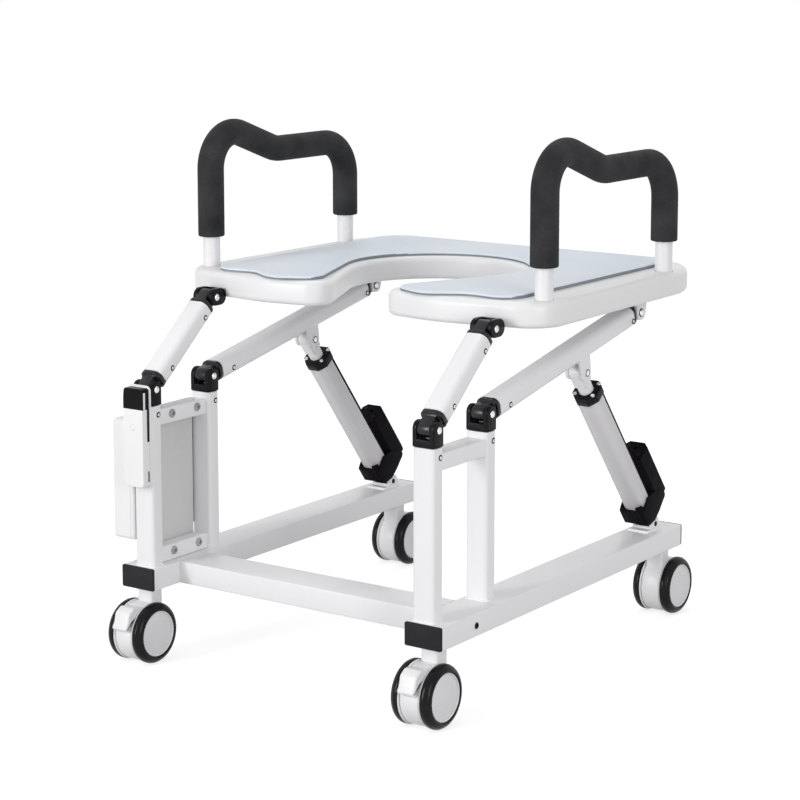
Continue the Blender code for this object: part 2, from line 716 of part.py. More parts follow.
def foam_grip():
    """The foam sleeve over the rail's whole upper part."""
    def sleeve(bottom, radius, sides):
        ends = ((HANDLE_FRONT_Y, bottom), (HANDLE_REAR_Y, bottom))
        return pipe([ends[0]] + handle_path() + [ends[1]], radius, sides)
    return cut(sleeve(GRIP_BOTTOM, GRIP_RADIUS, 14),
               sleeve(GRIP_BOTTOM - 0.01, HANDLE_RADIUS + 0.0006, 12))


# Actuators, in their own frame: Y runs from the base pin to the rod's eye, and the
# motor lies on the minus Z side, which is the rear.

def gearbox():
    """The moulded gearbox foot with its eye, the motor beside the tube, and the tube's seat."""
    width = GEARBOX_HALF
    rear = MOTOR_AXIS + MOTOR_HALF
    side = rounded([(0.045, 0.0195, 0.002), (0.0165, 0.0195, 0.004), (0.0125, 0.0040, 0.0),
                    (0.0125, -0.0180, 0.0), (0.0155, -0.0345, 0.006), (0.0290, -rear, 0.006),
                    (0.068, -rear, 0.0), (0.068, -0.0190, 0.0), (0.050, -0.0165, 0.0)])
    foot = prism(side, -width, width, 'X', 0.0022, 2)
    motor = prism(chamfered(2 * MOTOR_HALF, 0.009, (0.0, -MOTOR_AXIS)), 0.060, MOTOR_TOP, 'Y', 0.0015)
    eye = rounded([(-0.007, -0.007, 0.0068), (0.016, -0.010, 0.0), (0.016, 0.010, 0.0),
                   (-0.007, 0.007, 0.0068)])
    lug = prism(eye, -0.0078, 0.0078, 'X')
    seat = prism(box_section(ACTUATOR_TUBE + 2 * GAP, ACTUATOR_TUBE + 2 * GAP,
                             ACTUATOR_CORNER), TUBE_FOOT - GAP, 0.12, 'Y')
    bore = prism(circle(PIN_RADIUS + 0.00035), -0.02, 0.02, 'X')
    return cut(join(foot, motor, lug), seat, bore)


def chamfered(width, chamfer, centre=(0.0, 0.0)):
    """A square with its corners cut off."""
    reach = width / 2
    inner = reach - chamfer
    corners = [(-reach, -inner), (-inner, -reach), (inner, -reach), (reach, -inner),
               (reach, inner), (inner, reach), (-inner, reach), (-reach, inner)]
    return [(centre[0] + x, centre[1] + y) for x, y in corners]


def actuator_tube():
    """The aluminium guide tube, bored for the rod."""
    tube = prism(box_section(ACTUATOR_TUBE, ACTUATOR_TUBE, ACTUATOR_CORNER), TUBE_FOOT,
                 TUBE_HEAD, 'Y')
    bore = prism(circle(0.0125), TUBE_FOOT + 0.004, TUBE_HEAD + 0.01, 'Y')
    return cut(tube, bore)


def actuator_cap():
    """The guide tube's end cap, with its spigot and the rod's bore."""
    cap = prism(chamfered(CAP_WIDTH, 0.008), TUBE_HEAD + GAP, CAP_HEAD, 'Y', 0.0010, 1)
    spigot = prism(circle(0.0122), TUBE_HEAD - 0.006, TUBE_HEAD + 0.002, 'Y')
    bore = prism(circle(ROD_RADIUS + 0.0005), TUBE_HEAD - 0.02, CAP_HEAD + 0.02, 'Y')
    return cut(join(cap, spigot), bore)


def actuator_rod(reach):
    """The sliding rod and its flat eye, which fits between the arm's two ears."""
    rod = prism(circle(ROD_RADIUS, sides=16), TUBE_FOOT + 0.010, reach - 0.016, 'Y')
    eye = rounded([(reach - 0.020, -0.0082, 0.0), (reach + EYE_RADIUS, -EYE_RADIUS, EYE_RADIUS * 0.98),
                   (reach + EYE_RADIUS, EYE_RADIUS, EYE_RADIUS * 0.98), (reach - 0.020, 0.0082, 0.0)])
    bore = prism(circle(PIN_RADIUS + 0.0004, (reach, 0.0)), -0.02, 0.02, 'X')
    return cut(join(rod, prism(eye, -EYE_HALF, EYE_HALF, 'X')), bore)


def actuator(side, base):
    """One actuator on its base pin."""
    name = "actuator_" + side_name(side)
    run = (TOP_PIN[0] - BASE_PIN[0], TOP_PIN[1] - BASE_PIN[1])
    angle = math.atan2(run[1], run[0])
    axis = hub(name + "_axis", (side * ACTUATOR_X, *BASE_PIN), angle, parent=base)
    slide = hub(name + "_slide", (0.0, 0.0, 0.0), parent=axis)
    node(name + "_gearbox_motor", gearbox(), "black_plastic", axis)
    node(name + "_guide_tube", actuator_tube(), "aluminium", axis)
    node(name + "_end_cap", actuator_cap(), "black_plastic", axis)
    node(name + "_rod", actuator_rod(math.hypot(*run)), "white_paint", slide)


# Control box and handset

def control_box_cover():
    """The outer half of the control box, open towards the posts."""
    outline = box_section(BOX_Y[1] - BOX_Y[0], BOX_Z[1] - BOX_Z[0], 0.004,
                          ((BOX_Y[0] + BOX_Y[1]) / 2, (BOX_Z[0] + BOX_Z[1]) / 2))
    cover = prism(outline, BOX_X[0], BOX_X[1] - 0.0042, 'X', 0.0025, 2)
    hollow = block((BOX_X[0] + BOX_WALL, BOX_X[1]), (BOX_Y[0] + BOX_WALL, BOX_Y[1] - BOX_WALL),
                   (BOX_Z[0] + BOX_WALL, BOX_Z[1] - BOX_WALL))
    return cut(cover, hollow)


def control_box_back():
    """The back half: a tray with a rim inside the cover and a boss against the plate."""
    outline = box_section(BOX_Y[1] - BOX_Y[0], BOX_Z[1] - BOX_Z[0], 0.004,
                          ((BOX_Y[0] + BOX_Y[1]) / 2, (BOX_Z[0] + BOX_Z[1]) / 2))
    back = prism(outline, BOX_X[1] - 0.0039, BOX_X[1], 'X')
    inner = BOX_WALL + GAP
    rim = block((BOX_X[1] - 0.008, BOX_X[1] - 0.002), (BOX_Y[0] + inner, BOX_Y[1] - inner),
                (BOX_Z[0] + inner, BOX_Z[1] - inner))
    hollow = block((BOX_X[1] - 0.009, BOX_X[1] - 0.0025),
                   (BOX_Y[0] + inner + 0.002, BOX_Y[1] - inner - 0.002),
                   (BOX_Z[0] + inner + 0.002, BOX_Z[1] - inner - 0.002))
    boss = block((BOX_X[1] - 0.001, PLATE[0] - GAP), (0.0320, 0.1120), (0.160, 0.2880))
    return cut(join(back, rim, boss), hollow)


def control_board():
    """The circuit board on four posts inside the box, with its relays and its capacitor."""
    front = BOX_X[1] - 0.012
    board = block((front - 0.0016, front), (BOX_Y[0] + 0.012, BOX_Y[1] - 0.012),
                  (BOX_Z[0] + 0.014, BOX_Z[1] - 0.014))
    relays = [block((front - 0.0125, front - 0.001), (y, y + 0.016), (0.172, 0.192))
              for y in (0.030, 0.056, 0.082)]
    capacitor = prism(circle(0.0055, (0.045, 0.262)), front - 0.0140, front - 0.001, 'X')
    posts = [prism(circle(0.003, (y, z), 8), front - 0.001, BOX_X[1] - 0.0027, 'X')
             for y in (BOX_Y[0] + 0.018, BOX_Y[1] - 0.018) for z in (0.170, 0.280)]
    return join(board, *relays, capacitor, *posts)


def control_plate():
    """The sheet between the left posts that the box is bolted to, from bar to bar."""
    return block(PLATE, (FRONT_POST_Y + 0.0105, REAR_POST_Y - 0.0105),
                 (RAIL_TOP + GAP, UPPER_BAR_Z + BAR_SECTION[1] / 2), 0.0008, 1)


def handset_body():
    """The handset, with the pocket for its button."""
    x = (HANDSET_X[0] + HANDSET_X[1]) / 2
    z = (HANDSET_Z[0] + HANDSET_Z[1]) / 2
    outline = box_section(HANDSET_X[1] - HANDSET_X[0], HANDSET_Z[1] - HANDSET_Z[0], 0.005, (x, z))
    body = prism(outline, HANDSET_Y[0], HANDSET_Y[1], 'Y', 0.0018, 2)
    pocket = prism(circle(BUTTON_RADIUS + GAP, BUTTON), HANDSET_Y[0] - 0.01,
                   HANDSET_Y[0] + 0.0045, 'Y')
    return cut(body, pocket)


def handset_button():
    """The push button on the handset's face."""
    return prism(circle(BUTTON_RADIUS, BUTTON), HANDSET_Y[0] - BUTTON_TRAVEL,
                 HANDSET_Y[0] + 0.0028, 'Y', 0.0005, 1)


def handset_holder():
    """The plate that the handset hangs on, with its boss against the left front post."""
    x = (HANDSET_X[0] + HANDSET_X[1]) / 2
    z = (HANDSET_Z[0] + HANDSET_Z[1]) / 2 + 0.0005
    outline = box_section(HANDSET_X[1] - HANDSET_X[0] + 0.003, HANDSET_Z[1] - HANDSET_Z[0] + 0.004,
                          0.0065, (x, z))
    plate = prism(outline, HOLDER_Y[0], HOLDER_Y[1], 'Y', 0.0008, 1)
    boss = block((-0.2190, -0.1940), (HOLDER_Y[1] - 0.001, FRONT_POST_Y - 0.0103), (0.235, 0.312))
    return join(plate, boss)


# Assembly

def build_base(base):
    """Everything that stays with the floor frame."""
    for side in (1, -1):
        name = side_name(side)
        node("rail_" + name, rail(side), "white_paint", base)
        node("rail_front_cap_" + name, rail_cap(side, True), "black_plastic", base)
        node("rail_rear_cap_" + name, rail_cap(side, False), "black_plastic", base)
        node("post_frame_" + name, post_frame(side), "white_paint", base)
        for place, y in (("front", FRONT_POST_Y), ("rear", REAR_POST_Y)):
            node("post_clevis_%s_%s" % (place, name), post_cup(), "black_plastic", base,
                 (side * SIDE_X, y, 0.0))
    node("cross_member", cross_member(), "white_paint", base)
    node("control_box_plate", control_plate(), "grey_sheet", base)
    node("control_box_back", control_box_back(), "white_plastic", base)
    node("control_box_cover", control_box_cover(), "white_plastic", base)
    node("control_board", control_board(), "circuit_board", base)
    node("handset_holder", handset_holder(), "white_plastic", base)


def build_handset(base):
    """The handset, which lifts off its holder, and its button."""
    lift = hub("handset_lift", (0.0, 0.0, 0.0), parent=base)
    press = hub("handset_button_press", (0.0, 0.0, 0.0), parent=lift)
    node("handset_body", handset_body(), "black_plastic", lift)
    node("handset_button", handset_button(), "white_plastic", press)


def build_linkage(base):
    """Both arms of each side, on their post pivots."""
    for side in (1, -1):
        name = side_name(side)
        arm("short_arm_" + name, side * SIDE_X, (FRONT_POST_Y, PIVOT_Z), FRONT_UPPER, base)
        arm("long_arm_" + name, side * SIDE_X, (REAR_POST_Y, PIVOT_Z), REAR_UPPER, base, lug=True)
        actuator(side, base)


def build_seat(base):
    """The seat with all that it carries, on the long arms' upper pins."""
    y, z = REAR_UPPER
    tilt = hub("seat_tilt", (0.0, y, z), parent=base)
    home = (0.0, -y, -z)
    node("seat_shell", seat_shell(), "white_plastic", tilt, home)
    node("seat_pad", seat_pad(), "pad", tilt, home)
    for side in (1, -1):
        name = side_name(side)
        node("seat_front_bracket_" + name, front_bracket(), "black_plastic", tilt,
             (side * SIDE_X, -y, -z))
        node("seat_rear_bracket_" + name, rear_bracket(), "white_paint", tilt,
             (side * SIDE_X, -y, -z))
        node("hand_rail_" + name, hand_rail(), "white_paint", tilt, (side * HANDLE_X, -y, -z))
        node("hand_rail_grip_" + name, foam_grip(), "foam", tilt, (side * HANDLE_X, -y, -z))


def build():
    """The whole lift."""
    clear_scene()
    base = hub("lift", (0.0, -CENTRE_Y, 0.0))
    build_base(base)
    build_handset(base)
    build_linkage(base)
    build_seat(base)
    for side in (1, -1):
        name = side_name(side)
        caster("caster_front_" + name, side * CASTER_X, FRONT_AXLE_Y, 1, base)
        caster("caster_rear_" + name, side * CASTER_X, REAR_AXLE_Y, -1, base)


build()
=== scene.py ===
"""The looks of the powered toilet lift: its frame, arms, actuators, casters, seat, pad,
hand rails and control box, with their finishes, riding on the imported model's bodies.

Lengths are in millimetres, but for the lights and the camera, and Z is up.  A piece is
modelled with Y measured back from the front ends of the floor rails and with X across,
right at plus X; settle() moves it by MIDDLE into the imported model's frame.
"""
import math

import bmesh
import bpy
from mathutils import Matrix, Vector


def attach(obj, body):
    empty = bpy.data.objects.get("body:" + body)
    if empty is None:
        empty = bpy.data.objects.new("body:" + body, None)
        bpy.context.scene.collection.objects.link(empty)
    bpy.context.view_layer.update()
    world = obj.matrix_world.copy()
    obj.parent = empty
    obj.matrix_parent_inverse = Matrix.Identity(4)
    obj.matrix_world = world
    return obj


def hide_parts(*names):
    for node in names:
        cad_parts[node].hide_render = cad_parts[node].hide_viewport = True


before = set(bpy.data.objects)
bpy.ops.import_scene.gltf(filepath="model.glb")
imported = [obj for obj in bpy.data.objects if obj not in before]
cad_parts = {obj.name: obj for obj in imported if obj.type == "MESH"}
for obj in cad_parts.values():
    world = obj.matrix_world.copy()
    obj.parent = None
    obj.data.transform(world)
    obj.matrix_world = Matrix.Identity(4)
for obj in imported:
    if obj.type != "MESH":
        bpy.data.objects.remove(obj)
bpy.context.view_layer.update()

MM = 0.001
ORIGIN = (0, 0, 0)
# In metres, how far apart two places may be that count as one
SAME = 1e-5
SIDES = ((1, "right"), (-1, "left"))
BOTH = (-1, 1)

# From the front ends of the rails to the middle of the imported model
MIDDLE = 282.15

# Floor frame; a post's tube is twice POST_HALF across
RAIL_X = 211.6
RAIL_HALF = 25
RAIL_Z = (91.8, 119.5)
RAIL_LENGTH = 567.5
SIDE_X = 206.5
POST_Y = (17.9, 126.9)
POST_HALF = 15
POST_TOP = 320

# Linkage pivots, as (Y, Z), and the arms' ends, measured from an arm's pins
PIVOT_Z = 340
LOWER_PINS = ((17.9, PIVOT_Z), (126.9, PIVOT_Z))
FRONT_UPPER = (134.5, 438.3)
REAR_UPPER = (477.3, 411.7)
EYE_HALF = 8.5
SHOULDER = 14.3
FLANGE = (13.5, 19)
TUBE_START = 19.3

# Actuators
ACTUATOR_X = 208.5
BASE_PIN = (521, 128)
TOP_PIN = (342, 355)
TUBE_ENDS = (34, 244)

# Seat and hand rails
SEAT_Z = (436, 467)
HOLE_Y = 342
SEAT_HOLE = 110
SEAT_SLANT = math.radians(25)
PAD_HOLE = 117
PAD_SLANT = math.radians(22)
HANDLE_X = 248.4
HANDLE_Y = (194.5, 482.5)
GRIP_FOOT = 505

# Casters
CASTER_X = 211.9
AXLE_Z = 37.5
TRAIL = 15
AXLE_Y = {1: 8.1, -1: 562.3}

# How bright the world is where the camera doesn't see it
AMBIENT = 0.55


# Selecting and shaping

def take(*pieces):
    """Select these pieces and nothing else, the first one active."""
    bpy.ops.object.select_all(action='DESELECT')
    for piece in pieces:
        piece.select_set(True)
    bpy.context.view_layer.objects.active = pieces[0]


def edit(piece, kind, which='SELECT'):
    """Go into edit mode with everything selected, or nothing."""
    take(piece)
    bpy.ops.object.mode_set(mode='EDIT')
    bpy.ops.mesh.select_mode(type=kind)
    bpy.ops.mesh.select_all(action=which)


def pick(piece, kind, passes):
    """Go into edit mode with the edges or faces selected that pass."""
    edit(piece, kind, 'DESELECT')
    mesh = bmesh.from_edit_mesh(piece.data)
    for item in mesh.edges if kind == 'EDGE' else mesh.faces:
        if passes(item):
            item.select_set(True)
    bmesh.update_edit_mesh(piece.data)


def leave():
    """Back to object mode."""
    bpy.ops.object.mode_set(mode='OBJECT')


def runs(axis):
    """A test for the edges that run along an axis."""
    index = 'XYZ'.index(axis)
    others = [number for number in range(3) if number != index]
    return lambda a, b: (abs(a[index] - b[index]) > 10 * SAME
                         and all(abs(a[number] - b[number]) < SAME for number in others))


def lies(axis, *places):
    """A test for the edges that lie at given places on an axis."""
    index = 'XYZ'.index(axis)
    return lambda a, b: any(abs(a[index] - place * MM) < 2 * SAME
                            and abs(b[index] - place * MM) < 2 * SAME for place in places)


def round_edges(piece, *rounds):
    """Round edges in turns; each is a test of an edge's two ends, a radius and its steps."""
    for test, radius, steps in rounds:
        pick(piece, 'EDGE', lambda edge: test(edge.verts[0].co, edge.verts[1].co))
        bpy.ops.mesh.bevel(offset=radius * MM, segments=steps, profile=0.5, affect='EDGES')
        leave()
    return piece


def soften(piece, width, steps=2, angle=30.0):
    """Round every edge sharper than an angle, with a Bevel modifier that is applied."""
    take(piece)
    modifier = piece.modifiers.new("soften", 'BEVEL')
    modifier.width = width * MM
    modifier.segments = steps
    modifier.limit_method = 'ANGLE'
    modifier.angle_limit = math.radians(angle)
    bpy.ops.object.modifier_apply(modifier=modifier.name)
    return piece


def sink(piece, test, rim, travel):
    """Sink the faces that pass a test along Y, inside a rim."""
    pick(piece, 'FACE', test)
    bpy.ops.mesh.inset(thickness=rim * MM)
    bpy.ops.mesh.extrude_region_move(TRANSFORM_OT_translate={"value": (0.0, travel * MM, 0.0)})
    leave()


def cut(piece, *tools):
    """Take tools out of a piece one by one, and drop them."""
    for tool in tools:
        take(piece)
        modifier = piece.modifiers.new("cut", 'BOOLEAN')
        modifier.operation = 'DIFFERENCE'
        modifier.solver = 'EXACT'
        modifier.object = tool
        bpy.ops.object.modifier_apply(modifier=modifier.name)
        discard(tool)
    return piece


def discard(*forms):
    """Remove forms that have done their work."""
    for form in forms:
        bpy.data.objects.remove(form)


def gathered(*pieces):
    """Several shapes as one piece."""
    take(*pieces)
    bpy.ops.object.join()
    return bpy.context.object


def metres(place):
    """A place in millimetres as a vector in metres."""
    return Vector([length * MM for length in place])


def applied(piece):
    """Put the selected piece's place, turn and size into its mesh."""
    bpy.ops.object.transform_apply(location=True, rotation=True, scale=True)
    return piece


def laid(piece, place=ORIGIN, turn=ORIGIN):
    """Turn a piece about the origin, then move it, all in its mesh."""
    take(piece)
    piece.rotation_euler = turn
    piece.location = metres(place)
    return applied(piece)


def moved(piece, shift, turn=0.0):
    """Turn a piece about X at the origin, then move it."""
    return laid(piece, shift, (turn, 0.0, 0.0))


def copied(piece):
    """A copy of a piece with its own mesh."""
    take(piece)
    bpy.ops.object.duplicate(linked=False)
    return bpy.context.object


def mirrored(piece):
    """A copy of a piece on the other side, its faces outwards."""
    twin = copied(piece)
    bpy.ops.transform.resize(value=(-1.0, 1.0, 1.0), center_override=ORIGIN)
    return face_outwards(applied(twin))


def face_outwards(piece):
    """Merge doubles and turn the faces outwards."""
    edit(piece, 'VERT')
    bpy.ops.mesh.remove_doubles(threshold=0.00001)
    bpy.ops.mesh.normals_make_consistent(inside=False)
    leave()
    return piece


# First forms; each can take rounds of edges, as in round_edges

def slab(low, high, *rounds):
    """A block between two corners."""
    bpy.ops.mesh.primitive_cube_add(size=1.0,
                                    location=[(a + b) / 2 * MM for a, b in zip(low, high)],
                                    scale=[(b - a) * MM for a, b in zip(low, high)])
    return round_edges(applied(bpy.context.object), *rounds)


def bar(start, end, radius, sides, *rounds):
    """A round bar from one point to another."""
    start, end = metres(start), metres(end)
    run = end - start
    bpy.ops.mesh.primitive_cylinder_add(vertices=sides, radius=radius * MM, depth=run.length,
                                        location=(start + end) / 2,
                                        rotation=run.to_track_quat('Z', 'Y').to_euler())
    return round_edges(applied(bpy.context.object), *rounds)


def pin_bar(x, y, z, reach, radius, rounding):
    """A pin across X with both ends rounded."""
    return bar((x - reach, y, z), (x + reach, y, z), radius, 24,
               (lies('X', x - reach, x + reach), rounding, 2))


def spot(first, second, along, axis):
    """A point of an outline that is drawn square to an axis."""
    return metres({'X': (along, first, second), 'Y': (first, along, second),
                   'Z': (first, second, along)}[axis])


def traced(points, axis, along=0.0):
    """A chain of edges through points, extruded one by one from a single vertex."""
    bpy.ops.mesh.primitive_plane_add(size=0.002, location=spot(*points[0], along, axis))
    piece = applied(bpy.context.object)
    edit(piece, 'VERT')
    bpy.ops.mesh.merge(type='CENTER')
    for before, after in zip(points, points[1:]):
        step = spot(*after, along, axis) - spot(*before, along, axis)
        bpy.ops.mesh.extrude_vertices_move(TRANSFORM_OT_translate={"value": step})
    bpy.ops.mesh.select_all(action='SELECT')
    return piece


def drawn(points, axis, low, high, *rounds):
    """An outline filled and pulled along an axis."""
    piece = traced(points, axis, low)
    bpy.ops.mesh.edge_face_add()
    travel = spot(0, 0, high - low, axis)
    bpy.ops.mesh.extrude_region_move(TRANSFORM_OT_translate={"value": travel})
    bpy.ops.mesh.select_all(action='SELECT')
    bpy.ops.mesh.normals_make_consistent(inside=False)
    leave()
    return round_edges(piece, *rounds)


def ends_rounded(points, axis, low, high, radius, steps):
    """An outline pulled along an axis, with the edges of both ends rounded."""
    return drawn(points, axis, low, high, (lies(axis, low, high), radius, steps))


def ears(outline, x, inner, outer):
    """Two plates of one outline, either side of x."""
    return [drawn(outline, 'X', *sorted((x + side * inner, x + side * outer)))
            for side, _ in SIDES]


def lathed(profile, axis, steps, centre=ORIGIN):
    """A round piece: a profile of (along, radius) points spun about an axis."""
    piece = traced([(radius, along) for along, radius in profile], 'Y')
    bpy.ops.mesh.spin(steps=steps, angle=2 * math.pi, center=ORIGIN, axis=(0.0, 0.0, 1.0))
    leave()
    return laid(face_outwards(piece), centre,
                {'X': (0.0, math.pi / 2, 0.0), 'Z': ORIGIN, 'Y': (-math.pi / 2, 0.0, 0.0)}[axis])


def piped(start, steps, radius, *rounds):
    """A round pipe that starts upwards and goes through runs and bends in its own plane.

    A run is its (Y, Z) travel, and a bend is its (Y, Z) centre with its angle about X.
    """
    bpy.ops.mesh.primitive_circle_add(vertices=40, radius=radius * MM, location=metres(start),
                                      fill_type='NOTHING')
    piece = applied(bpy.context.object)
    edit(piece, 'EDGE')
    for kind, first, second in steps:
        if kind == 'run':
            travel = metres((0, first, second))
            bpy.ops.mesh.extrude_region_move(TRANSFORM_OT_translate={"value": travel})
        else:
            count = max(6, round(abs(second) / math.radians(5.0)))
            bpy.ops.mesh.spin(steps=count, angle=-second, center=metres((start[0], *first)),
                              axis=(1.0, 0.0, 0.0))
    bpy.ops.mesh.select_all(action='SELECT')
    bpy.ops.mesh.fill_holes(sides=0)
    leave()
    return round_edges(face_outwards(piece), *rounds)


# Outlines

def heading(start, end):
    """The unit direction from one point to another."""
    length = math.dist(start, end)
    return ((end[0] - start[0]) / length, (end[1] - start[1]) / length)


def swung(point, centre, angle):
    """A point turned about a centre."""
    x = point[0] - centre[0]
    y = point[1] - centre[1]
    return (centre[0] + x * math.cos(angle) - y * math.sin(angle),
            centre[1] + x * math.sin(angle) + y * math.cos(angle))


def bend(before, corner, after, radius):
    """Where the arc that rounds a corner starts, its centre and its turn."""
    inward = heading(before, corner)
    outward = heading(corner, after)
    turn = math.atan2(inward[0] * outward[1] - inward[1] * outward[0],
                      inward[0] * outward[0] + inward[1] * outward[1])
    reach = radius * math.tan(abs(turn) / 2)
    start = (corner[0] - inward[0] * reach, corner[1] - inward[1] * reach)
    side = math.copysign(radius, turn)
    return start, (start[0] - inward[1] * side, start[1] + inward[0] * side), turn


def corner_arc(before, corner, after, radius, finest=8.0):
    """The points of the arc that rounds one corner of an outline."""
    if not radius:
        return [corner]
    start, centre, turn = bend(before, corner, after, radius)
    steps = max(1, math.ceil(abs(math.degrees(turn)) / finest))
    return [swung(start, centre, turn * step / steps) for step in range(steps + 1)]


def rounded(corners, finest=8.0):
    """A closed outline through (x, y, radius) corners, turned in steps of some degrees."""
    outline = []
    for index, (x, y, radius) in enumerate(corners):
        before = corners[index - 1]
        after = corners[(index + 1) % len(corners)]
        outline += corner_arc(before[:2], (x, y), after[:2], radius, finest)
    return outline


def section(width, height, corner, centre=(0, 0), finest=8.0):
    """A rectangle with rounded corners."""
    x = width / 2
    y = height / 2
    return rounded([(centre[0] - x, centre[1] - y, corner), (centre[0] + x, centre[1] - y, corner),
                    (centre[0] + x, centre[1] + y, corner),
                    (centre[0] - x, centre[1] + y, corner)], finest)


def settle(piece, name, body, finish, *nodes, smooth=35.0):
    """Finish a piece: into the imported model's frame, with its name, body, finish and nodes."""
    piece.name = name
    moved(piece, (0.0, -MIDDLE, 0.0))
    bpy.ops.object.shade_smooth_by_angle(angle=math.radians(smooth))
    piece.data.materials.clear()
    piece.data.materials.append(finish)
    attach(piece, body)
    if nodes:
        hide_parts(*nodes)
    return piece


# Effects that several finishes share

def effect(name, inputs, outputs):
    """A new node group with its sockets, and its two end nodes."""
    group = bpy.data.node_groups.new(name, 'ShaderNodeTree')
    for label, value in inputs:
        socket = group.interface.new_socket(label, in_out='INPUT', socket_type='NodeSocketFloat')
        socket.default_value = value
    for label in outputs:
        group.interface.new_socket(label, in_out='OUTPUT', socket_type='NodeSocketFloat')
    return group, group.nodes.new('NodeGroupInput'), group.nodes.new('NodeGroupOutput')


def feed(tree, socket, value):
    """Give a socket a value: a number, a colour, or another socket."""
    if isinstance(value, bpy.types.NodeSocket):
        tree.links.new(value, socket)
    elif isinstance(value, tuple) and socket.type == 'RGBA':
        socket.default_value = (*value, 1.0)
    else:
        socket.default_value = value


def give(tree, made, **values):
    """Feed a node's inputs, which are named by their labels with _ for a space."""
    for label, value in values.items():
        feed(tree, made.inputs[label.replace("_", " ")], value)
    return made


def add(tree, kind, settings=(), **values):
    """A new node with its settings and the values of its inputs."""
    made = tree.nodes.new('ShaderNode' + kind)
    for label, value in dict(settings).items():
        setattr(made, label, value)
    return give(tree, made, **values)


def surface_place(tree):
    """The piece's own coordinates."""
    return add(tree, 'TexCoord').outputs["Object"]


def noise(tree, vector, scale, detail, roughness=0.5):
    """A noise texture on some coordinates."""
    return add(tree, 'TexNoise', Vector=vector, Scale=scale, Detail=detail,
               Roughness=roughness).outputs["Fac"]


def cell_pattern(tree, scale, feature='F1'):
    """Cells over the surface, by the distance from their middles or edges."""
    return add(tree, 'TexVoronoi', {"feature": feature}, Scale=scale,
               Vector=surface_place(tree)).outputs["Distance"]


def spread(tree, value, low, high, start=0.0, end=1.0):
    """Stretch the range low to high of a value over start to end."""
    return add(tree, 'MapRange', Value=value, From_Min=low, From_Max=high, To_Min=start,
               To_Max=end).outputs["Result"]


def calculate(tree, operation, first, second):
    """A sum, product or the like of two values."""
    made = add(tree, 'Math', {"operation": operation})
    feed(tree, made.inputs[0], first)
    feed(tree, made.inputs[1], second)
    return made.outputs[0]


def make_grain():
    """Fine moulded or sprayed grain, with a soft change of tone over some centimetres."""
    group, start, end = effect("surface_grain", (("Grains", 900.0), ("Clouds", 9.0)),
                               ("Height", "Tone"))
    place = surface_place(group)
    fine = noise(group, place, start.outputs["Grains"], 3.0, 0.6)
    broad = noise(group, place, start.outputs["Clouds"], 2.0)
    give(group, end, Height=fine, Tone=spread(group, broad, 0.3, 0.7))
    return group


def make_handling():
    """Patches that hands and cloths have polished, and faint dust between them."""
    group, start, end = effect("handling_marks", (("Patches", 30.0),), ("Polish",))
    patches = noise(group, surface_place(group), start.outputs["Patches"], 4.0, 0.62)
    give(group, end, Polish=spread(group, patches, 0.35, 0.65))
    return group


def make_draw_lines():
    """Fine lines along a drawn or brushed metal piece; they run along Y before Turn."""
    group, start, end = effect("draw_lines", (("Turn", 0.0), ("Lines", 900.0)), ("Height", "Tone"))
    turn = add(group, 'VectorRotate', {"rotation_type": 'X_AXIS'}, Vector=surface_place(group),
               Angle=start.outputs["Turn"])
    squeeze = add(group, 'VectorMath', {"operation": 'MULTIPLY'})
    feed(group, squeeze.inputs[0], turn.outputs[0])
    feed(group, squeeze.inputs[1], (1.0, 0.012, 1.0))
    lines = noise(group, squeeze.outputs[0], start.outputs["Lines"], 2.0, 0.6)
    bands = noise(group, squeeze.outputs[0], 110.0, 1.0)
    give(group, end, Height=lines, Tone=spread(group, bands, 0.3, 0.7))
    return group


GRAIN = make_grain()
HANDLING = make_handling()
DRAW_LINES = make_draw_lines()


# Finishes


def new_finish(name):
    """A material with its Principled shader, and the tree they are in."""
    material = bpy.data.materials.new(name)
    material.use_nodes = True
    return material, material.node_tree, material.node_tree.nodes["Principled BSDF"]


def placed(tree, group, **values):
    """A node group in a material, with its values."""
    return add(tree, 'Group', {"node_tree": group}, **values).outputs


def tint(tree, shader, tone, dark, light):
    """Colour the shader between two tones."""
    mix = add(tree, 'Mix', {"data_type": 'RGBA'}, Factor=tone)
    feed(tree, mix.inputs[6], dark)
    feed(tree, mix.inputs[7], light)
    give(tree, shader, Base_Color=mix.outputs[2])


def polish(tree, shader, patches, gloss, matt):
    """Let the shader's roughness change between handled patches and the rest."""
    marks = placed(tree, HANDLING, Patches=patches)["Polish"]
    give(tree, shader, Roughness=spread(tree, marks, 0.0, 1.0, matt, gloss))


def raise_surface(tree, shader, height, distance):
    """Bump the shader's surface by a height."""
    bump = add(tree, 'Bump', Strength=1.0, Distance=distance * MM, Height=height)
    give(tree, shader, Normal=bump.outputs[0])


def coated(name, light, dark, gloss, matt, grains, relief, clouds=9.0, patches=30.0,
           shine=0.5):
    """Paint or moulded plastic: two close tones, patches of gloss, and a fine grain."""
    material, tree, shader = new_finish(name)
    grain = placed(tree, GRAIN, Grains=grains, Clouds=clouds)
    tint(tree, shader, grain["Tone"], dark, light)
    polish(tree, shader, patches, gloss, matt)
    raise_surface(tree, shader, grain["Height"], relief)
    give(tree, shader, Specular_IOR_Level=shine)
    return material


def drawn_metal(name, light, dark, gloss, matt, turn=0.0, lines=1600.0, metal=1.0):
    """Bare or anodised metal with lines along it."""
    material, tree, shader = new_finish(name)
    marks = placed(tree, DRAW_LINES, Turn=turn, Lines=lines)
    tint(tree, shader, marks["Tone"], dark, light)
    polish(tree, shader, 45.0, gloss, matt)
    give(tree, shader, Metallic=metal)
    raise_surface(tree, shader, marks["Height"], 0.02)
    return material


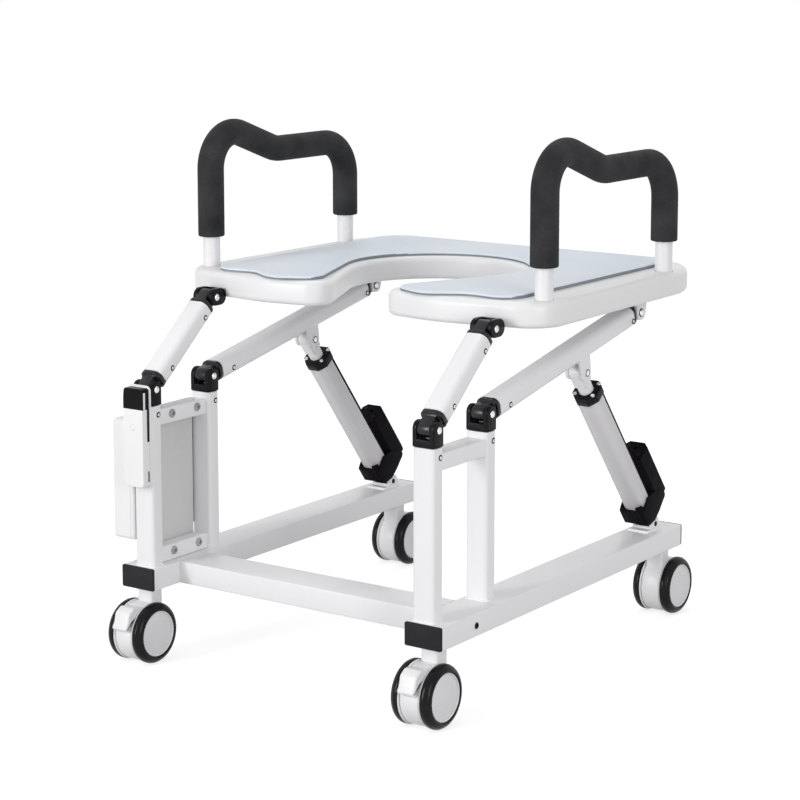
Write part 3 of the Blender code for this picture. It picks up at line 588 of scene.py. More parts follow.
def foam_finish():
    """Closed-cell foam: fine pores in a dull skin."""
    material, tree, shader = new_finish("grip_foam")
    pores = spread(tree, cell_pattern(tree, 620.0), 0.05, 0.45)
    grain = placed(tree, GRAIN, Grains=260.0, Clouds=22.0)
    # The tone is darker in the pores: painted shade in their hollows.
    tint(tree, shader, calculate(tree, 'MULTIPLY', pores, grain["Tone"]), (0.016, 0.016, 0.018),
         (0.046, 0.046, 0.050))
    give(tree, shader, Roughness=0.88, Specular_IOR_Level=0.25)
    raise_surface(tree, shader, calculate(tree, 'ADD', pores, grain["Height"]), 0.12)
    return material


def pad_finish(name, light, dark):
    """The pad's soft vinyl skin: a fine leather grain of small cells and creases."""
    material, tree, shader = new_finish(name)
    creases = spread(tree, cell_pattern(tree, 520.0, 'DISTANCE_TO_EDGE'), 0.0, 0.22)
    grain = placed(tree, GRAIN, Grains=1400.0, Clouds=6.0)
    # The tone is darker along the creases between the cells: painted shade in the grain's hollows.
    tone = calculate(tree, 'MULTIPLY', grain["Tone"], spread(tree, creases, 0.0, 1.0, 0.75, 1.0))
    tint(tree, shader, tone, dark, light)
    polish(tree, shader, 18.0, 0.50, 0.62)
    fine = calculate(tree, 'MULTIPLY', grain["Height"], 0.3)
    raise_surface(tree, shader, calculate(tree, 'ADD', creases, fine), 0.05)
    return material


def board_finish():
    """Green solder resist with copper runs under it."""
    material, tree, shader = new_finish("circuit_board_resist")
    turn = add(tree, 'Mapping', Vector=surface_place(tree), Rotation=(0.0, math.pi / 2, 0.0))
    runs_under = add(tree, 'TexBrick', Vector=turn.outputs[0], Scale=60.0, Mortar_Size=0.03,
                     Color1=(0.010, 0.110, 0.045), Color2=(0.012, 0.130, 0.052),
                     Mortar=(0.030, 0.210, 0.090))
    give(tree, shader, Base_Color=runs_under.outputs["Color"], Roughness=0.38)
    raise_surface(tree, shader, runs_under.outputs["Fac"], 0.04)
    return material


# White powder coat on steel, and the white mouldings
FRAME_WHITE = coated("frame_powder_coat", (0.86, 0.855, 0.875),
                     (0.84, 0.835, 0.855), 0.28, 0.34, 820.0, 0.03)
SEAT_WHITE = coated("seat_moulding", (0.84, 0.84, 0.85), (0.825, 0.825, 0.835),
                    0.30, 0.40, 1100.0, 0.02, clouds=5.0)
CASE_WHITE = coated("case_moulding", (0.88, 0.88, 0.885), (0.86, 0.86, 0.865),
                    0.36, 0.46, 1500.0, 0.06)
CASTER_WHITE = coated("caster_moulding", (0.86, 0.86, 0.87), (0.83, 0.83, 0.84),
                      0.28, 0.38, 1300.0, 0.04, clouds=30.0)
DISC_WHITE = coated("wheel_disc_moulding", (0.78, 0.77, 0.79), (0.74, 0.73, 0.75),
                    0.32, 0.42, 1300.0, 0.03, clouds=30.0)
SHEET_GREY = coated("sheet_coat", (0.66, 0.66, 0.66), (0.63, 0.63, 0.63), 0.36, 0.46,
                    900.0, 0.03)
# Black mouldings
JOINT_BLACK = coated("joint_moulding", (0.008, 0.007, 0.009),
                     (0.005, 0.004, 0.006), 0.20, 0.30, 1500.0, 0.04, clouds=60.0, patches=90.0,
                     shine=0.11)
KNUCKLE_BLACK = coated("knuckle_moulding", (0.008, 0.007, 0.009),
                       (0.005, 0.004, 0.006), 0.22, 0.32, 1500.0, 0.04, clouds=60.0, patches=90.0,
                       shine=0.34)
CAP_BLACK = coated("cap_moulding", (0.020, 0.019, 0.022), (0.014, 0.013, 0.016),
                   0.42, 0.54, 1500.0, 0.06, clouds=40.0, shine=0.12)
MOTOR_BLACK = coated("motor_moulding", (0.007, 0.006, 0.008),
                     (0.005, 0.004, 0.006), 0.48, 0.60, 1100.0, 0.05, clouds=50.0, patches=70.0,
                     shine=0.03)
GLOSS_BLACK = coated("handset_gloss", (0.007, 0.007, 0.008),
                     (0.005, 0.005, 0.006), 0.14, 0.22, 1500.0, 0.01, clouds=50.0, shine=0.08)
TYRE = coated("tyre_tread", (0.010, 0.010, 0.011), (0.005, 0.005, 0.006), 0.16, 0.24,
              700.0, 0.02, clouds=40.0, patches=160.0, shine=0.14)
# Metals; the guide tube's lines run along it
TUBE_METAL = drawn_metal("guide_tube_anodised", (0.67, 0.66, 0.68), (0.61, 0.60, 0.62), 0.52, 0.60,
                         -math.atan2(TOP_PIN[1] - BASE_PIN[1], TOP_PIN[0] - BASE_PIN[0]),
                         lines=900.0, metal=0.25)
PIN_METAL = drawn_metal("pin_steel", (0.80, 0.79, 0.78), (0.68, 0.67, 0.66), 0.16, 0.28)
BOLT_GREY = drawn_metal("bolt_zinc", (0.42, 0.42, 0.43), (0.32, 0.32, 0.33), 0.36, 0.48, metal=0.6)
GRIP_FOAM = foam_finish()
PAD_SKIN = pad_finish("pad_vinyl", (0.77, 0.82, 0.885), (0.70, 0.755, 0.83))
# A darker copy of the pad's vinyl for its side faces: painted shade on the rim.
PAD_SHADED_SIDE = pad_finish("pad_vinyl_painted_shade", (0.24, 0.27, 0.31), (0.18, 0.20, 0.24))
BOARD = board_finish()


# Small fittings, modelled once at the origin and copied to their places

def screw_head(radius, height, recess, depth):
    """A domed head with a round socket, standing on the origin along Z."""
    return lathed([(-0.6, 0), (-0.6, radius), (height * 0.35, radius),
                   (height * 0.75, radius * 0.90), (height, radius * 0.66), (height, recess),
                   (height - depth, recess * 0.92), (height - depth, 0)], 'Z', 24)


PAN_SCREW = screw_head(2.1, 1.1, 0.9, 0.8)
CAP_SCREW = screw_head(2.8, 1.2, 1.2, 0.9)
BUTTON_SCREW = screw_head(5.4, 2.4, 2.4, 1.8)
SCREW_RING = lathed([(-0.4, 1.8), (-0.4, 3.6), (0.2, 3.6), (0.4, 3.3), (0.4, 1.8), (-0.4, 1.8)],
                    'Z', 24)
PIN_HEAD = lathed([(-1, 0), (-1, 4.2), (0.8, 4.2), (1.6, 3.6), (2.1, 2.2), (2.3, 0)], 'Z', 28)
PIN_RING = lathed([(-0.4, 4), (-0.4, 5.6), (0.6, 5.4), (0.8, 5), (0.8, 4), (-0.4, 4)], 'Z', 28)
BOLT_WASHER = lathed([(-0.5, 0), (-0.5, 5.6), (0.9, 5.4), (1.3, 4.8), (1.3, 4), (-0.5, 3.6)], 'Z',
                     32)
BOLT_HEAD = lathed([(-0.5, 0), (-0.5, 4), (1.6, 4), (2.2, 3.4), (2.4, 2.2), (0.6, 2), (0.6, 0)],
                   'Z', 28)
BUTTON = lathed([(0, 0), (0, 4), (2.8, 4), (3.2, 3.8), (3.4, 3.2), (3.4, 1.4), (2.6, 1.1),
                 (2.4, 0)], 'Z', 40)
FITTINGS = (PAN_SCREW, CAP_SCREW, BUTTON_SCREW, SCREW_RING, PIN_HEAD, PIN_RING, BOLT_WASHER,
            BOLT_HEAD, BUTTON)


def stood(fitting, place, towards=(1, 0, 0)):
    """A copy of a fitting at a place, turned from Z towards a direction."""
    return laid(copied(fitting), place, Vector(towards).to_track_quat('Z', 'Y').to_euler())


def hinge_pin(name, pivot, body, x, reach=15):
    """A hinge pin across a clevis, with its bright head towards plus X."""
    start = x - reach - 1
    shank = bar((start, *pivot), (x + reach, *pivot), 3.9, 24, (lies('X', start), 0.8, 2))
    settle(gathered(shank, stood(PIN_HEAD, (x + reach, *pivot))), name, body, PIN_METAL)


def tube_screw(name, place, body):
    """A small bright screw in its dark ring, on a tube's plus X face."""
    settle(stood(SCREW_RING, place), name + "_ring", body, JOINT_BLACK)
    settle(stood(PAN_SCREW, place), name, body, PIN_METAL)


# Floor frame

def make_rail(side, name):
    """A rail tube, open at both ends for its caps, with its bolt and bracket."""
    x = side * RAIL_X
    rail = "rail_" + name
    front, back = 3.3, RAIL_LENGTH - 3.3
    tube = slab((x - RAIL_HALF, front, RAIL_Z[0]), (x + RAIL_HALF, back, RAIL_Z[1]),
                (runs('Y'), 1.6, 4))
    for end, travel in ((front, 16), (back, -16)):
        sink(tube, lambda face: abs(face.calc_center_median().y - end * MM) < SAME, 2, travel)
    settle(tube, "rail_tube_" + name, "base", FRAME_WHITE, rail)
    # The bolt through the rail into the cross member: a white washer and a dark socket
    place = (side * (RAIL_X + RAIL_HALF), 71, sum(RAIL_Z) / 2)
    out = (side, 0, 0)
    settle(stood(BOLT_WASHER, place, out), "rail_bolt_washer_" + name, "base", FRAME_WHITE, rail)
    settle(stood(BOLT_HEAD, place, out), "rail_bolt_" + name, "base", JOINT_BLACK, rail)
    make_base_bracket(side * ACTUATOR_X, name, rail)
    make_rail_cap(x, "rail_front_cap_" + name, 0, 1)
    make_rail_cap(x, "rail_rear_cap_" + name, RAIL_LENGTH, -1)


def make_rail_cap(x, cad, outer, inward):
    """A black end cap with a pillowed face, and its plug in the tube."""
    flange = sorted((outer, outer + inward * 3))
    face = slab((x - RAIL_HALF, flange[0], RAIL_Z[0]), (x + RAIL_HALF, flange[1], RAIL_Z[1]),
                (runs('Y'), 2.2, 4), (lies('Y', outer), 1.1, 3))
    depth = inward * 13.5
    ends = sorted((outer + depth * 0.15, outer + depth))
    plug = slab((x - 22.6, ends[0], RAIL_Z[0] + 2.4), (x + 22.6, ends[1], RAIL_Z[1] - 2.4),
                (runs('Y'), 1.5, 2))
    settle(gathered(face, plug), cad + "_moulding", "base", CAP_BLACK, cad)


def make_base_bracket(x, name, rail):
    """The two ears on the rail that hold an actuator's foot, on their flat plate."""
    y, z = BASE_PIN
    foot = RAIL_Z[1]
    low, high, top = foot - 0.8, z + 8.6, foot + 3.2
    shapes = ears(rounded([(y - 13, low, 0), (y + 13, low, 0), (y + 7.8, high, 6.8),
                           (y - 7.8, high, 6.8)]), x, 10, 14)
    shapes.append(slab((x - 10.8, y - 13, foot), (x + 10.8, y - 10.5, foot + 6.6)))
    for shape in shapes:
        soften(shape, 0.6)
    plate = slab((x - 15, 497.5, low), (x + 15, y + 15, top), (runs('Z'), 2.5, 4),
                 (lies('Z', top), 1.2, 3))
    settle(gathered(plate, *shapes), "actuator_base_bracket_" + name, "base", FRAME_WHITE, rail)
    settle(pin_bar(x, y, z, 14.8, 3.6, 0.9), "actuator_base_pin_" + name, "base", JOINT_BLACK,
           rail)


def make_cross_member():
    """The flat tube between the rails."""
    reach = RAIL_X - RAIL_HALF - 0.3
    tube = slab((-reach, 50.5, RAIL_Z[0]), (reach, 104.5, RAIL_Z[1]), (runs('X'), 1.8, 4))
    settle(tube, "cross_tube", "base", FRAME_WHITE, "cross_member")


def tie_bar(low_x, high_x, low_z, high_z):
    """A bar of rectangular tube between two posts."""
    return slab((low_x, POST_Y[0] + 6, low_z), (high_x, POST_Y[1] - 6, high_z),
                (runs('Y'), 1.6, 3))


def make_posts(side, name):
    """The two posts of one side, the bars that tie them, and the screws in them."""
    x = side * SIDE_X
    cad = "post_frame_" + name
    shapes = []
    for y in POST_Y:
        shapes.append(slab((x - POST_HALF, y - 10, 119.8), (x + POST_HALF, y + 10, POST_TOP - 0.3),
                           (runs('Z'), 5, 6)))
        shapes.append(drawn(section(32.8, 22.8, 6.4, (x, y)), 'Z', 119.1, 121.2,
                            (lies('Z', 121.2), 1.3, 4)))
    if side > 0:
        shapes.append(tie_bar(192, 219, 292, 312))
    else:
        channel = slab((-213.6, 31, 306), (-200.4, 113.8, 320))
        shapes.append(cut(tie_bar(-216, -198, 292.6, 312.6), channel))
        shapes.append(tie_bar(-216, -198, 119.9, 139.9))
    settle(gathered(*shapes), "post_tubes_" + name, "base", FRAME_WHITE, cad)
    for index, y in enumerate(POST_Y):
        tube_screw("post_screw_%s_%d" % (name, index), (x + POST_HALF, y + 3, 308.5), "base")
    if side < 0:
        for z, place in ((304.1, "upper"), (131.4, "lower")):
            for index, y in enumerate((53.5, 101)):
                settle(stood(BUTTON_SCREW, (-198, y, z)), "bar_bolt_%s_%d" % (place, index),
                       "base", BOLT_GREY, cad)


def make_cups():
    """The black cap of each post, with its collar, two ears and hinge pin."""
    low, high = POST_TOP + 0.3, PIVOT_Z + 10
    side_view = rounded([(-10, low, 1.2), (10, low, 1.2), (10, high, 9.5), (-10, high, 9.5)])
    cup = cut(ends_rounded(side_view, 'X', -POST_HALF, POST_HALF, 1.8, 4),
              slab((-9, -12, 329.3), (9, 12, 360)))
    soften(cup, 0.4, 2, 50.0)
    plug = slab((-12.6, -7.6, 308.5), (12.6, 7.6, low + 1), (runs('Z'), 2.7, 3))
    cup = gathered(cup, plug)
    for side, name in SIDES:
        for place, y in zip(("front", "rear"), POST_Y):
            cad = "post_clevis_%s_%s" % (place, name)
            settle(moved(copied(cup), (side * SIDE_X, y, 0)), cad + "_moulding", "base",
                   JOINT_BLACK, cad)
            hinge_pin("post_pin_%s_%s" % (place, name), (y, PIVOT_Z), "base", side * SIDE_X)
    discard(cup)


# Arms; each is modelled along Y from its lower pin at the origin, then turned into place

def make_knuckle(start):
    """An arm's end fitting: the eye round the pin, ribs, shoulder, flange and plug."""
    reach = 9.5
    view = rounded([(-reach, -reach, reach * 0.99), (start + 1.2, -reach, 0),
                    (start + 1.2, reach, 0), (-reach, reach, reach * 0.99)])
    eye = ends_rounded(view, 'X', -EYE_HALF, EYE_HALF, 0.7, 3)
    shoulder = slab((-8.7, start, -9.6), (8.7, SHOULDER, 9.6))
    pick(shoulder, 'FACE', lambda face: face.normal.y > 0.9)
    bpy.ops.transform.resize(value=(1.42, 1.0, 1.18), center_override=metres((0, SHOULDER, 0)))
    leave()
    soften(shoulder, 0.8)
    ribs = []
    for x in BOTH:
        inner, outer = sorted((x * 8, x * 12.8))
        for z in (-5.6, 5.6):
            rib = slab((inner, start + 0.8, z - 0.9), (outer, SHOULDER, z + 0.9))
            ribs.append(soften(rib, 0.3, 1))
    flange = ends_rounded(section(30, 25, 9), 'Y', *FLANGE, 1, 3)
    plug = drawn(section(25.4, 20.4, 6.8), 'Y', 18, 31)
    return gathered(eye, shoulder, flange, plug, *ribs)


def arm_frame(lower, upper):
    """An arm's length and its angle about X."""
    return (math.dist(lower, upper), math.atan2(upper[1] - lower[1], upper[0] - lower[0]))


def make_lug(pin, offset):
    """The two ears under a long arm that take the rod's eye, each with its boss."""
    along, down = pin
    top, bottom = -4.5, down - 9.5
    view = rounded([(along - 13, top, 0), (along - 10.5, bottom, 9), (along + 10.5, bottom, 9),
                    (along + 13, top, 0)])
    shapes = []
    for side in BOTH:
        inner, outer = sorted((offset + side * 8.6, offset + side * 12))
        shapes.append(ends_rounded(view, 'X', inner, outer, 0.5, 2))
        face = offset + side * 12 - side * 2
        end = offset + side * 13.8
        shapes.append(bar((face, along, down), (end, along, down), 5, 28,
                          (lies('X', end), 0.7, 2)))
    return gathered(*shapes)


def make_arms():
    """The four arms: tubes, end fittings, lugs and the small screws in the tubes."""
    knuckle = make_knuckle(10.8)
    open_knuckle = make_knuckle(12)
    kinds = (("short", LOWER_PINS[0], FRONT_UPPER, open_knuckle, ((37.7, -3), (-31.5, -3.2))),
             ("long", LOWER_PINS[1], REAR_UPPER, knuckle, ((40.3, -3.5), (-23, -3.5))))
    for kind, lower, upper, top_end, screws in kinds:
        length, angle = arm_frame(lower, upper)
        for side, name in SIDES:
            body = "%s_arm_%s" % (kind, name)
            place = (side * SIDE_X, *lower)
            ends = (TUBE_START, length - TUBE_START)
            tube = slab((-15, ends[0], -12.5), (15, ends[1], 12.5), (runs('Y'), 9, 10),
                        (lies('Y', *ends), 0.4, 2))
            if kind == "long":
                pin = swung((TOP_PIN[0] - lower[0], TOP_PIN[1] - lower[1]), (0, 0), -angle)
                offset = side * (ACTUATOR_X - SIDE_X)
                tube = gathered(tube, make_lug(pin, offset))
                make_lug_pin(body, pin, offset, place, angle)
            settle(moved(tube, place, angle), body + "_oval_tube", body, FRAME_WHITE,
                   body + "_tube")
            settle(moved(copied(knuckle), place, angle), body + "_lower_knuckle", body,
                   KNUCKLE_BLACK, body + "_lower_end")
            far = moved(copied(top_end), (0, length, 0), math.pi)
            settle(moved(far, place, angle), body + "_upper_knuckle", body, KNUCKLE_BLACK,
                   body + "_upper_end")
            for index, (along, across) in enumerate(screws):
                along = along if along > 0 else length + along
                y, z = swung((along, across), (0, 0), angle)
                tube_screw("%s_screw_%d" % (body, index),
                           (side * SIDE_X + 14.9, lower[0] + y, lower[1] + z), body)
    discard(knuckle, open_knuckle)


def make_lug_pin(body, pin, offset, place, angle):
    """The pin through a long arm's lug, with a dark clip at each end."""
    shank = pin_bar(offset, *pin, 14.2, 3.6, 0.7)
    settle(moved(shank, place, angle), body + "_lug_pin", body, PIN_METAL)
    clips = gathered(*[bar((offset + side * 13, *pin), (offset + side * 13.9, *pin), 4.6, 24)
                       for side in BOTH])
    settle(moved(clips, place, angle), body + "_lug_clips", body, JOINT_BLACK)


# Actuators; modelled along Y from the base pin, with the motor on the minus Z side

def make_gearbox():
    """The gearbox foot with its eye and the motor housing beside the tube."""
    trough = (section(31.6, 31.6, 7.2), 'Y', 33.7, 130)
    view = rounded([(42, 18.5, 0.8), (17, 18.5, 3), (9.5, 2, 0), (11, -14.4, 0), (16, -37.2, 5),
                    (29, -38.5, 0), (44.6, -15.8, 2), (49.5, -3, 3), (45.2, 10.8, 2)])
    foot = ends_rounded(view, 'X', -17.8, 17.8, 1.2, 3)
    motor = drawn(chamfered(34, 6.5, (0, -32)), 'Y', 17.5, 104, (lies('Y', 17.5), 5.5, 5),
                  (lies('Y', 104), 1.2, 3))
    sink(motor, lambda face: face.normal.y > 0.99, 1.8, -0.6)
    eye = ends_rounded(rounded([(-7, -7, 6.8), (16, -10, 0), (16, 10, 0), (-7, 7, 6.8)]), 'X',
                       -7.8, 7.8, 0.7, 2)
    cut(foot, drawn(*trough))
    cut(motor, bar((1, 90, -38.5), (1, 110, -38.5), 2.6, 20), drawn(*trough))
    post = bar((11.6, 30, 14.6), (11.6, 48.8, 14.6), 5, 28, (lies('Y', 48.8), 1.4, 3))
    return gathered(foot, motor, eye, post)


def chamfered(width, chamfer, centre=(0, 0)):
    """A square with its corners cut off."""
    reach = width / 2
    inner = reach - chamfer
    corners = [(-reach, -inner), (-inner, -reach), (inner, -reach), (reach, -inner),
               (reach, inner), (inner, reach), (-inner, reach), (-reach, inner)]
    return [(centre[0] + x, centre[1] + y) for x, y in corners]


def side_bars(inner, outer, start, end, low, high):
    """A flat bar on each side of the guide tube."""
    pairs = [(side, sorted((side * inner, side * outer))) for side in BOTH]
    return [slab((reach[0], start, low), (reach[1], end, high)) for side, reach in pairs]


def make_guide_tube():
    """The extruded guide tube, with a slot along each side."""
    tube = ends_rounded(section(31, 31, 11.5, finest=5.0), 'Y', *TUBE_ENDS, 0.4, 2)
    return cut(tube, *side_bars(11.8, 16.5, 30, 250, -12.8, -7.4))


def make_painted_shade_strips():
    """Dark strips in the guide tube's side slots; their black stands in for the shade and dark
    reflection along the tube's edge, as painted shade.
    """
    return gathered(*side_bars(11, 12.8, 36, TUBE_ENDS[1], -12.7, -7.5))


def make_end_cap():
    """The guide tube's black end cap with its gland round the rod."""
    cap = drawn([(-17.5, -9.5), (-9.5, -17.5), (9.5, -17.5), (17.5, -9.5), (17.5, 6.8), (8, 17.5),
                 (-8, 17.5), (-17.5, 6.8)], 'Y', 244.3, 256)
    soften(cap, 1, 3, 20.0)
    cut(cap, bar((0, 240, 0), (0, 270, 0), 11.2, 32))
    gland = lathed([(244.5, 9.9), (244.5, 11.4), (256.6, 11.4), (257.2, 10.8), (256.6, 9.9),
                    (244.5, 9.9)], 'Y', 32)
    return gathered(cap, gland)


def make_rod(length):
    """The rod with its flat eye."""
    rod = bar((0, 150, 0), (0, length - 15, 0), 9.4, 36, (lies('Y', length - 15), 1.2, 3))
    reach = 9.8
    start, tip = length - 20, length + reach
    eye = rounded([(start, -reach, 0), (tip, -reach, reach * 0.98), (tip, reach, reach * 0.98),
                   (start, reach, 0)])
    return gathered(rod, ends_rounded(eye, 'X', -8, 8, 1.2, 3))


def make_actuators():
    """Both actuators, on their base pins."""
    length, angle = arm_frame(BASE_PIN, TOP_PIN)
    forms = (("gearbox_motor", make_gearbox(), MOTOR_BLACK),
             ("guide_tube", make_guide_tube(), TUBE_METAL),
             # The black strips in the guide tube's slots are painted shade.
             ("painted_shade_strips", make_painted_shade_strips(), MOTOR_BLACK),
             ("end_cap", make_end_cap(), JOINT_BLACK), ("rod", make_rod(length), FRAME_WHITE))
    screw_sets = (("cap", CAP_SCREW, PIN_METAL, 255.9,
                   ((-12.5, 7.5), (12.5, 7.5), (-12.2, -12.2), (12.2, -12.2))),
                  ("motor", PAN_SCREW, CAP_BLACK, 103.3, ((-10, -41.5), (8.5, -28.5))))
    for side, name in SIDES:
        place = (side * ACTUATOR_X, *BASE_PIN)
        actuator = "actuator_%s_" % name
        for kind, form, finish in forms:
            cad = actuator + kind
            settle(moved(copied(form), place, angle), cad + "_form",
                   actuator + ("slider" if kind == "rod" else "body"), finish,
                   *([] if kind == "painted_shade_strips" else [cad]))
        for kind, screw, finish, run, places in screw_sets:
            screws = gathered(*[stood(screw, (x, run, z), (0, 1, 0)) for x, z in places])
            settle(moved(screws, place, angle), "%s%s_screws" % (actuator, kind),
                   actuator + "body", finish)
    discard(*[form for kind, form, finish in forms])


# Casters; modelled facing forwards, with the swivel's axis on the origin

def make_caster_housing(braked):
    """The round body between the wheels and its swivel block."""
    body = lathed([(-13, 0), (-13, 34), (-12.2, 35.2), (-10.8, 35.8), (10.8, 35.8), (12.2, 35.2),
                   (13, 34), (13, 0)], 'X', 72, (0, -TRAIL, AXLE_Z))
    neck = drawn(section(23.8, 22, 4.5), 'Z', 60, 91.5)
    collar = drawn(section(24.8, 23, 5), 'Z', 89.3, 91.5, (lies('Z', 89.3), 0.6, 2))
    if not braked:
        return gathered(body, neck, collar)
    start = -23.1
    pocket = [(start - back, z) for back, z in ((2.5, 80), (45, 80), (45, 42), (29.2, 42),
                                                (26.2, 44.6), (20.8, 52.2), (11, 59.8), (2.5, 64))]
    cut(body, drawn(pocket, 'X', -11.9, 11.9))
    rib = rounded([(start - 14, 50, 0), (start - 5, 59, 0), (start - 5.8, 68.9, 2.5),
                   (start - 11.3, 68.9, 2.5)])
    return gathered(body, neck, collar, drawn(rib, 'X', -4, 4))


def make_pedal():
    """The brake pedal: a lip to press, a flat front and a rounded back."""
    tip = -58.6
    corners = ((0, 50.5, 1.2), (1.2, 47, 1.2), (5.5, 49, 2), (12.5, 56, 4), (23.5, 61.5, 0),
               (32.5, 66.5, 1.5), (32, 71, 1.5), (16, 73.8, 6), (6.5, 68, 8), (3.5, 56, 4))
    view = rounded([(tip + back, z, rounding) for back, z, rounding in corners])
    return cut(ends_rounded(view, 'X', -11.4, 11.4, 2.6, 5),
               slab((-4.5, tip + 21.5, 40), (4.5, tip + 50, 69.5)))


def make_wheel_parts():
    """One wheel's tyre, white core and grey disc, about X on the axle at the origin."""
    tyre = [(14.8, 30), (14.8, 35.8), (15.2, 36.8), (16.2, 37.4), (18, 37.5), (20.2, 37.5),
            (21.6, 37.1), (22.2, 36.6), (22.7, 36.2), (23.3, 36.1), (24.5, 35.3), (25.8, 33.8),
            (26.8, 31.8), (27.3, 30.4), (27.2, 29.4), (26.6, 28.6), (25.6, 28.2), (23.6, 28.2)]
    core = [(13.8, 4.5), (13.8, 36.2), (14.1, 36.8), (14.7, 36.9), (15.1, 36.2), (15.5, 30),
            (24, 28.1), (25.7, 28.1), (26.4, 27.7), (26.6, 27.1), (26.2, 26.5), (24.8, 26.3)]
    disc = [(23.8, 27), (24.7, 26.4), (25.1, 25.8), (25.3, 24), (25.5, 14), (25.6, 0)]
    rings = (("tyres", tyre, TYRE), ("cores", core, CASTER_WHITE), ("discs", disc, DISC_WHITE))
    return [(kind, lathed(profile, 'X', 72), finish) for kind, profile, finish in rings]


def make_casters():
    """Four casters: the front ones braked, the rear ones turned to face back."""
    parts = make_wheel_parts()
    pedal = make_pedal()
    braked = make_caster_housing(True)
    plain = make_caster_housing(False)
    axle = bar((-24, 0, 0), (24, 0, 0), 3.8, 24)
    for side, name in SIDES:
        for place, facing in (("front", 1), ("rear", -1)):
            caster = "caster_%s_%s" % (place, name)
            wheels = caster + "_wheel_pair"
            axle_y = AXLE_Y[facing]
            swivel = (side * CASTER_X, axle_y + facing * TRAIL, 0)
            housing = (copied(braked) if facing > 0 else laid(copied(plain), turn=(0, 0, math.pi)))
            settle(moved(housing, swivel), caster + "_body", caster + "_fork", CASTER_WHITE,
                   caster + "_housing")
            wheel_place = (side * CASTER_X, axle_y, AXLE_Z)
            for kind, part, finish in parts:
                near = copied(part)
                settle(moved(gathered(near, mirrored(near)), wheel_place),
                       "%s_%s" % (caster, kind), wheels, finish, caster + "_wheels")
            settle(moved(copied(axle), wheel_place), caster + "_axle_bar", wheels, PIN_METAL)
            if facing > 0:
                settle(moved(copied(pedal), swivel), caster + "_foot_pedal", "brake_pedal_" + name,
                       CASTER_WHITE, caster + "_brake_pedal")
    discard(pedal, braked, plain, axle, *[part for kind, part, finish in parts])


# Seat

def tongue_corner(radius, slant, y, rounding):
    """The inner corner of a front tongue, on the opening's slanted side."""
    reach = HOLE_Y - radius * math.sin(slant) - y
    return (radius * math.cos(slant) - reach * math.tan(slant), y, rounding)


def horseshoe(radius, slant, corners):
    """A closed outline, mirrored in X, from its opening and its right-hand corners."""
    sweep = math.pi / 2 + slant
    right = [swung((0, HOLE_Y + radius), (0, HOLE_Y), -sweep * step / 40) for step in range(41)]
    path = [right[-1]] + [corner[:2] for corner in corners] + [(0, corners[-1][1])]
    for index, (x, y, rounding) in enumerate(corners):
        right += corner_arc(path[index], (x, y), path[index + 2], rounding, 5.0)
    right.append(path[-1])
    return right + [(-x, y) for x, y in right[-2:0:-1]]


def make_seat():
    """The moulded seat: a slab with a full round edge, sockets and clevis recesses."""
    outline = horseshoe(SEAT_HOLE, SEAT_SLANT,
                        [tongue_corner(SEAT_HOLE, SEAT_SLANT, 156, 26), (130, 141, 200),
                         (272, 164, 48), (264, 585, 95)])
    shell = drawn(outline, 'Z', *SEAT_Z, (lies('Z', SEAT_Z[1]), 8.5, 8),
                  (lies('Z', SEAT_Z[0]), 7, 6))
    tools = []
    for side, _ in SIDES:
        x = side * HANDLE_X
        tools += [bar((x, y, SEAT_Z[1] - 13.8), (x, y, SEAT_Z[1] + 10), 11.7, 40)
                  for y in HANDLE_Y]
        x = side * SIDE_X
        tools.append(drawn(clevis_ear(1.2), 'X', x - 16.4, x + 16.4))
        tools.append(slab((x - 10.4, 100, 420), (x + 10.4, 158.2, 443.6)))
    settle(cut(shell, *tools), "seat_moulding_shell", "seat", SEAT_WHITE, "seat_shell",
           smooth=24.0)


def make_pad():
    """The thin soft pad: a rounded rim, lips that follow the seat's front edge, and a darker vinyl
    of painted shade on its side faces.
    """
    outline = horseshoe(PAD_HOLE, PAD_SLANT,
                        [tongue_corner(PAD_HOLE, PAD_SLANT, 166.5, 24), (112, 138.5, 36),
                         (158, 169, 34), (224, 160, 28), (225, 560, 40)])
    bottom = SEAT_Z[1] + 0.2
    top = bottom + 4.7
    pad = drawn(outline, 'Z', bottom, top, (lies('Z', top), 3.4, 7))
    settle(pad, "seat_pad_cushion", "seat", PAD_SKIN, "seat_pad", smooth=50.0)
    # Side faces, most of all those facing plus or minus X, take the darker vinyl: painted shade on
    # the pad's rim.
    pad.data.materials.append(PAD_SHADED_SIDE)
    for face in pad.data.polygons:
        if abs(face.normal.z) < (0.70 if abs(face.normal.x) > 0.75 else 0.20):
            face.material_index = 1


def clevis_ear(margin):
    """A front clevis ear's pill-shaped outline about the pin, with a margin all round."""
    y, z = FRONT_UPPER
    reach = 10.8 + margin
    back = 154 + margin
    return rounded([(y - reach, z - reach, reach * 0.98), (back, z - reach, reach * 0.98),
                    (back, z + reach, reach * 0.98), (y - reach, z + reach, reach * 0.98)])


def make_front_clevis():
    """The black clevis in the seat's front edge, for a short arm's upper pin."""
    y, z = FRONT_UPPER
    clevis = cut(ends_rounded(clevis_ear(0), 'X', -POST_HALF, POST_HALF, 1.8, 4),
                 slab((-9, y - 20, z - 20), (9, 146.8, z + 20)))
    foot = slab((-10, 148, z - 5), (10, 158.8, z + 5))
    return soften(gathered(clevis, foot), 0.4, 2, 50.0)


def make_rear_clevis():
    """The white clevis under the seat, for a long arm's upper pin."""
    y, z = REAR_UPPER
    low, top = z - 9.5, SEAT_Z[0] - 0.3
    view = rounded([(y - 9.5, low, 9), (y + 9.5, low, 9), (y + 17, top - 2, 0),
                    (y - 10.5, top - 2, 0)])
    plate = slab((-15.5, y - 24, top - 3.5), (15.5, y + 24, top), (runs('Z'), 4, 5))
    near, far = ears(view, 0, 9, 14)
    return soften(gathered(near, far, plate), 0.6)


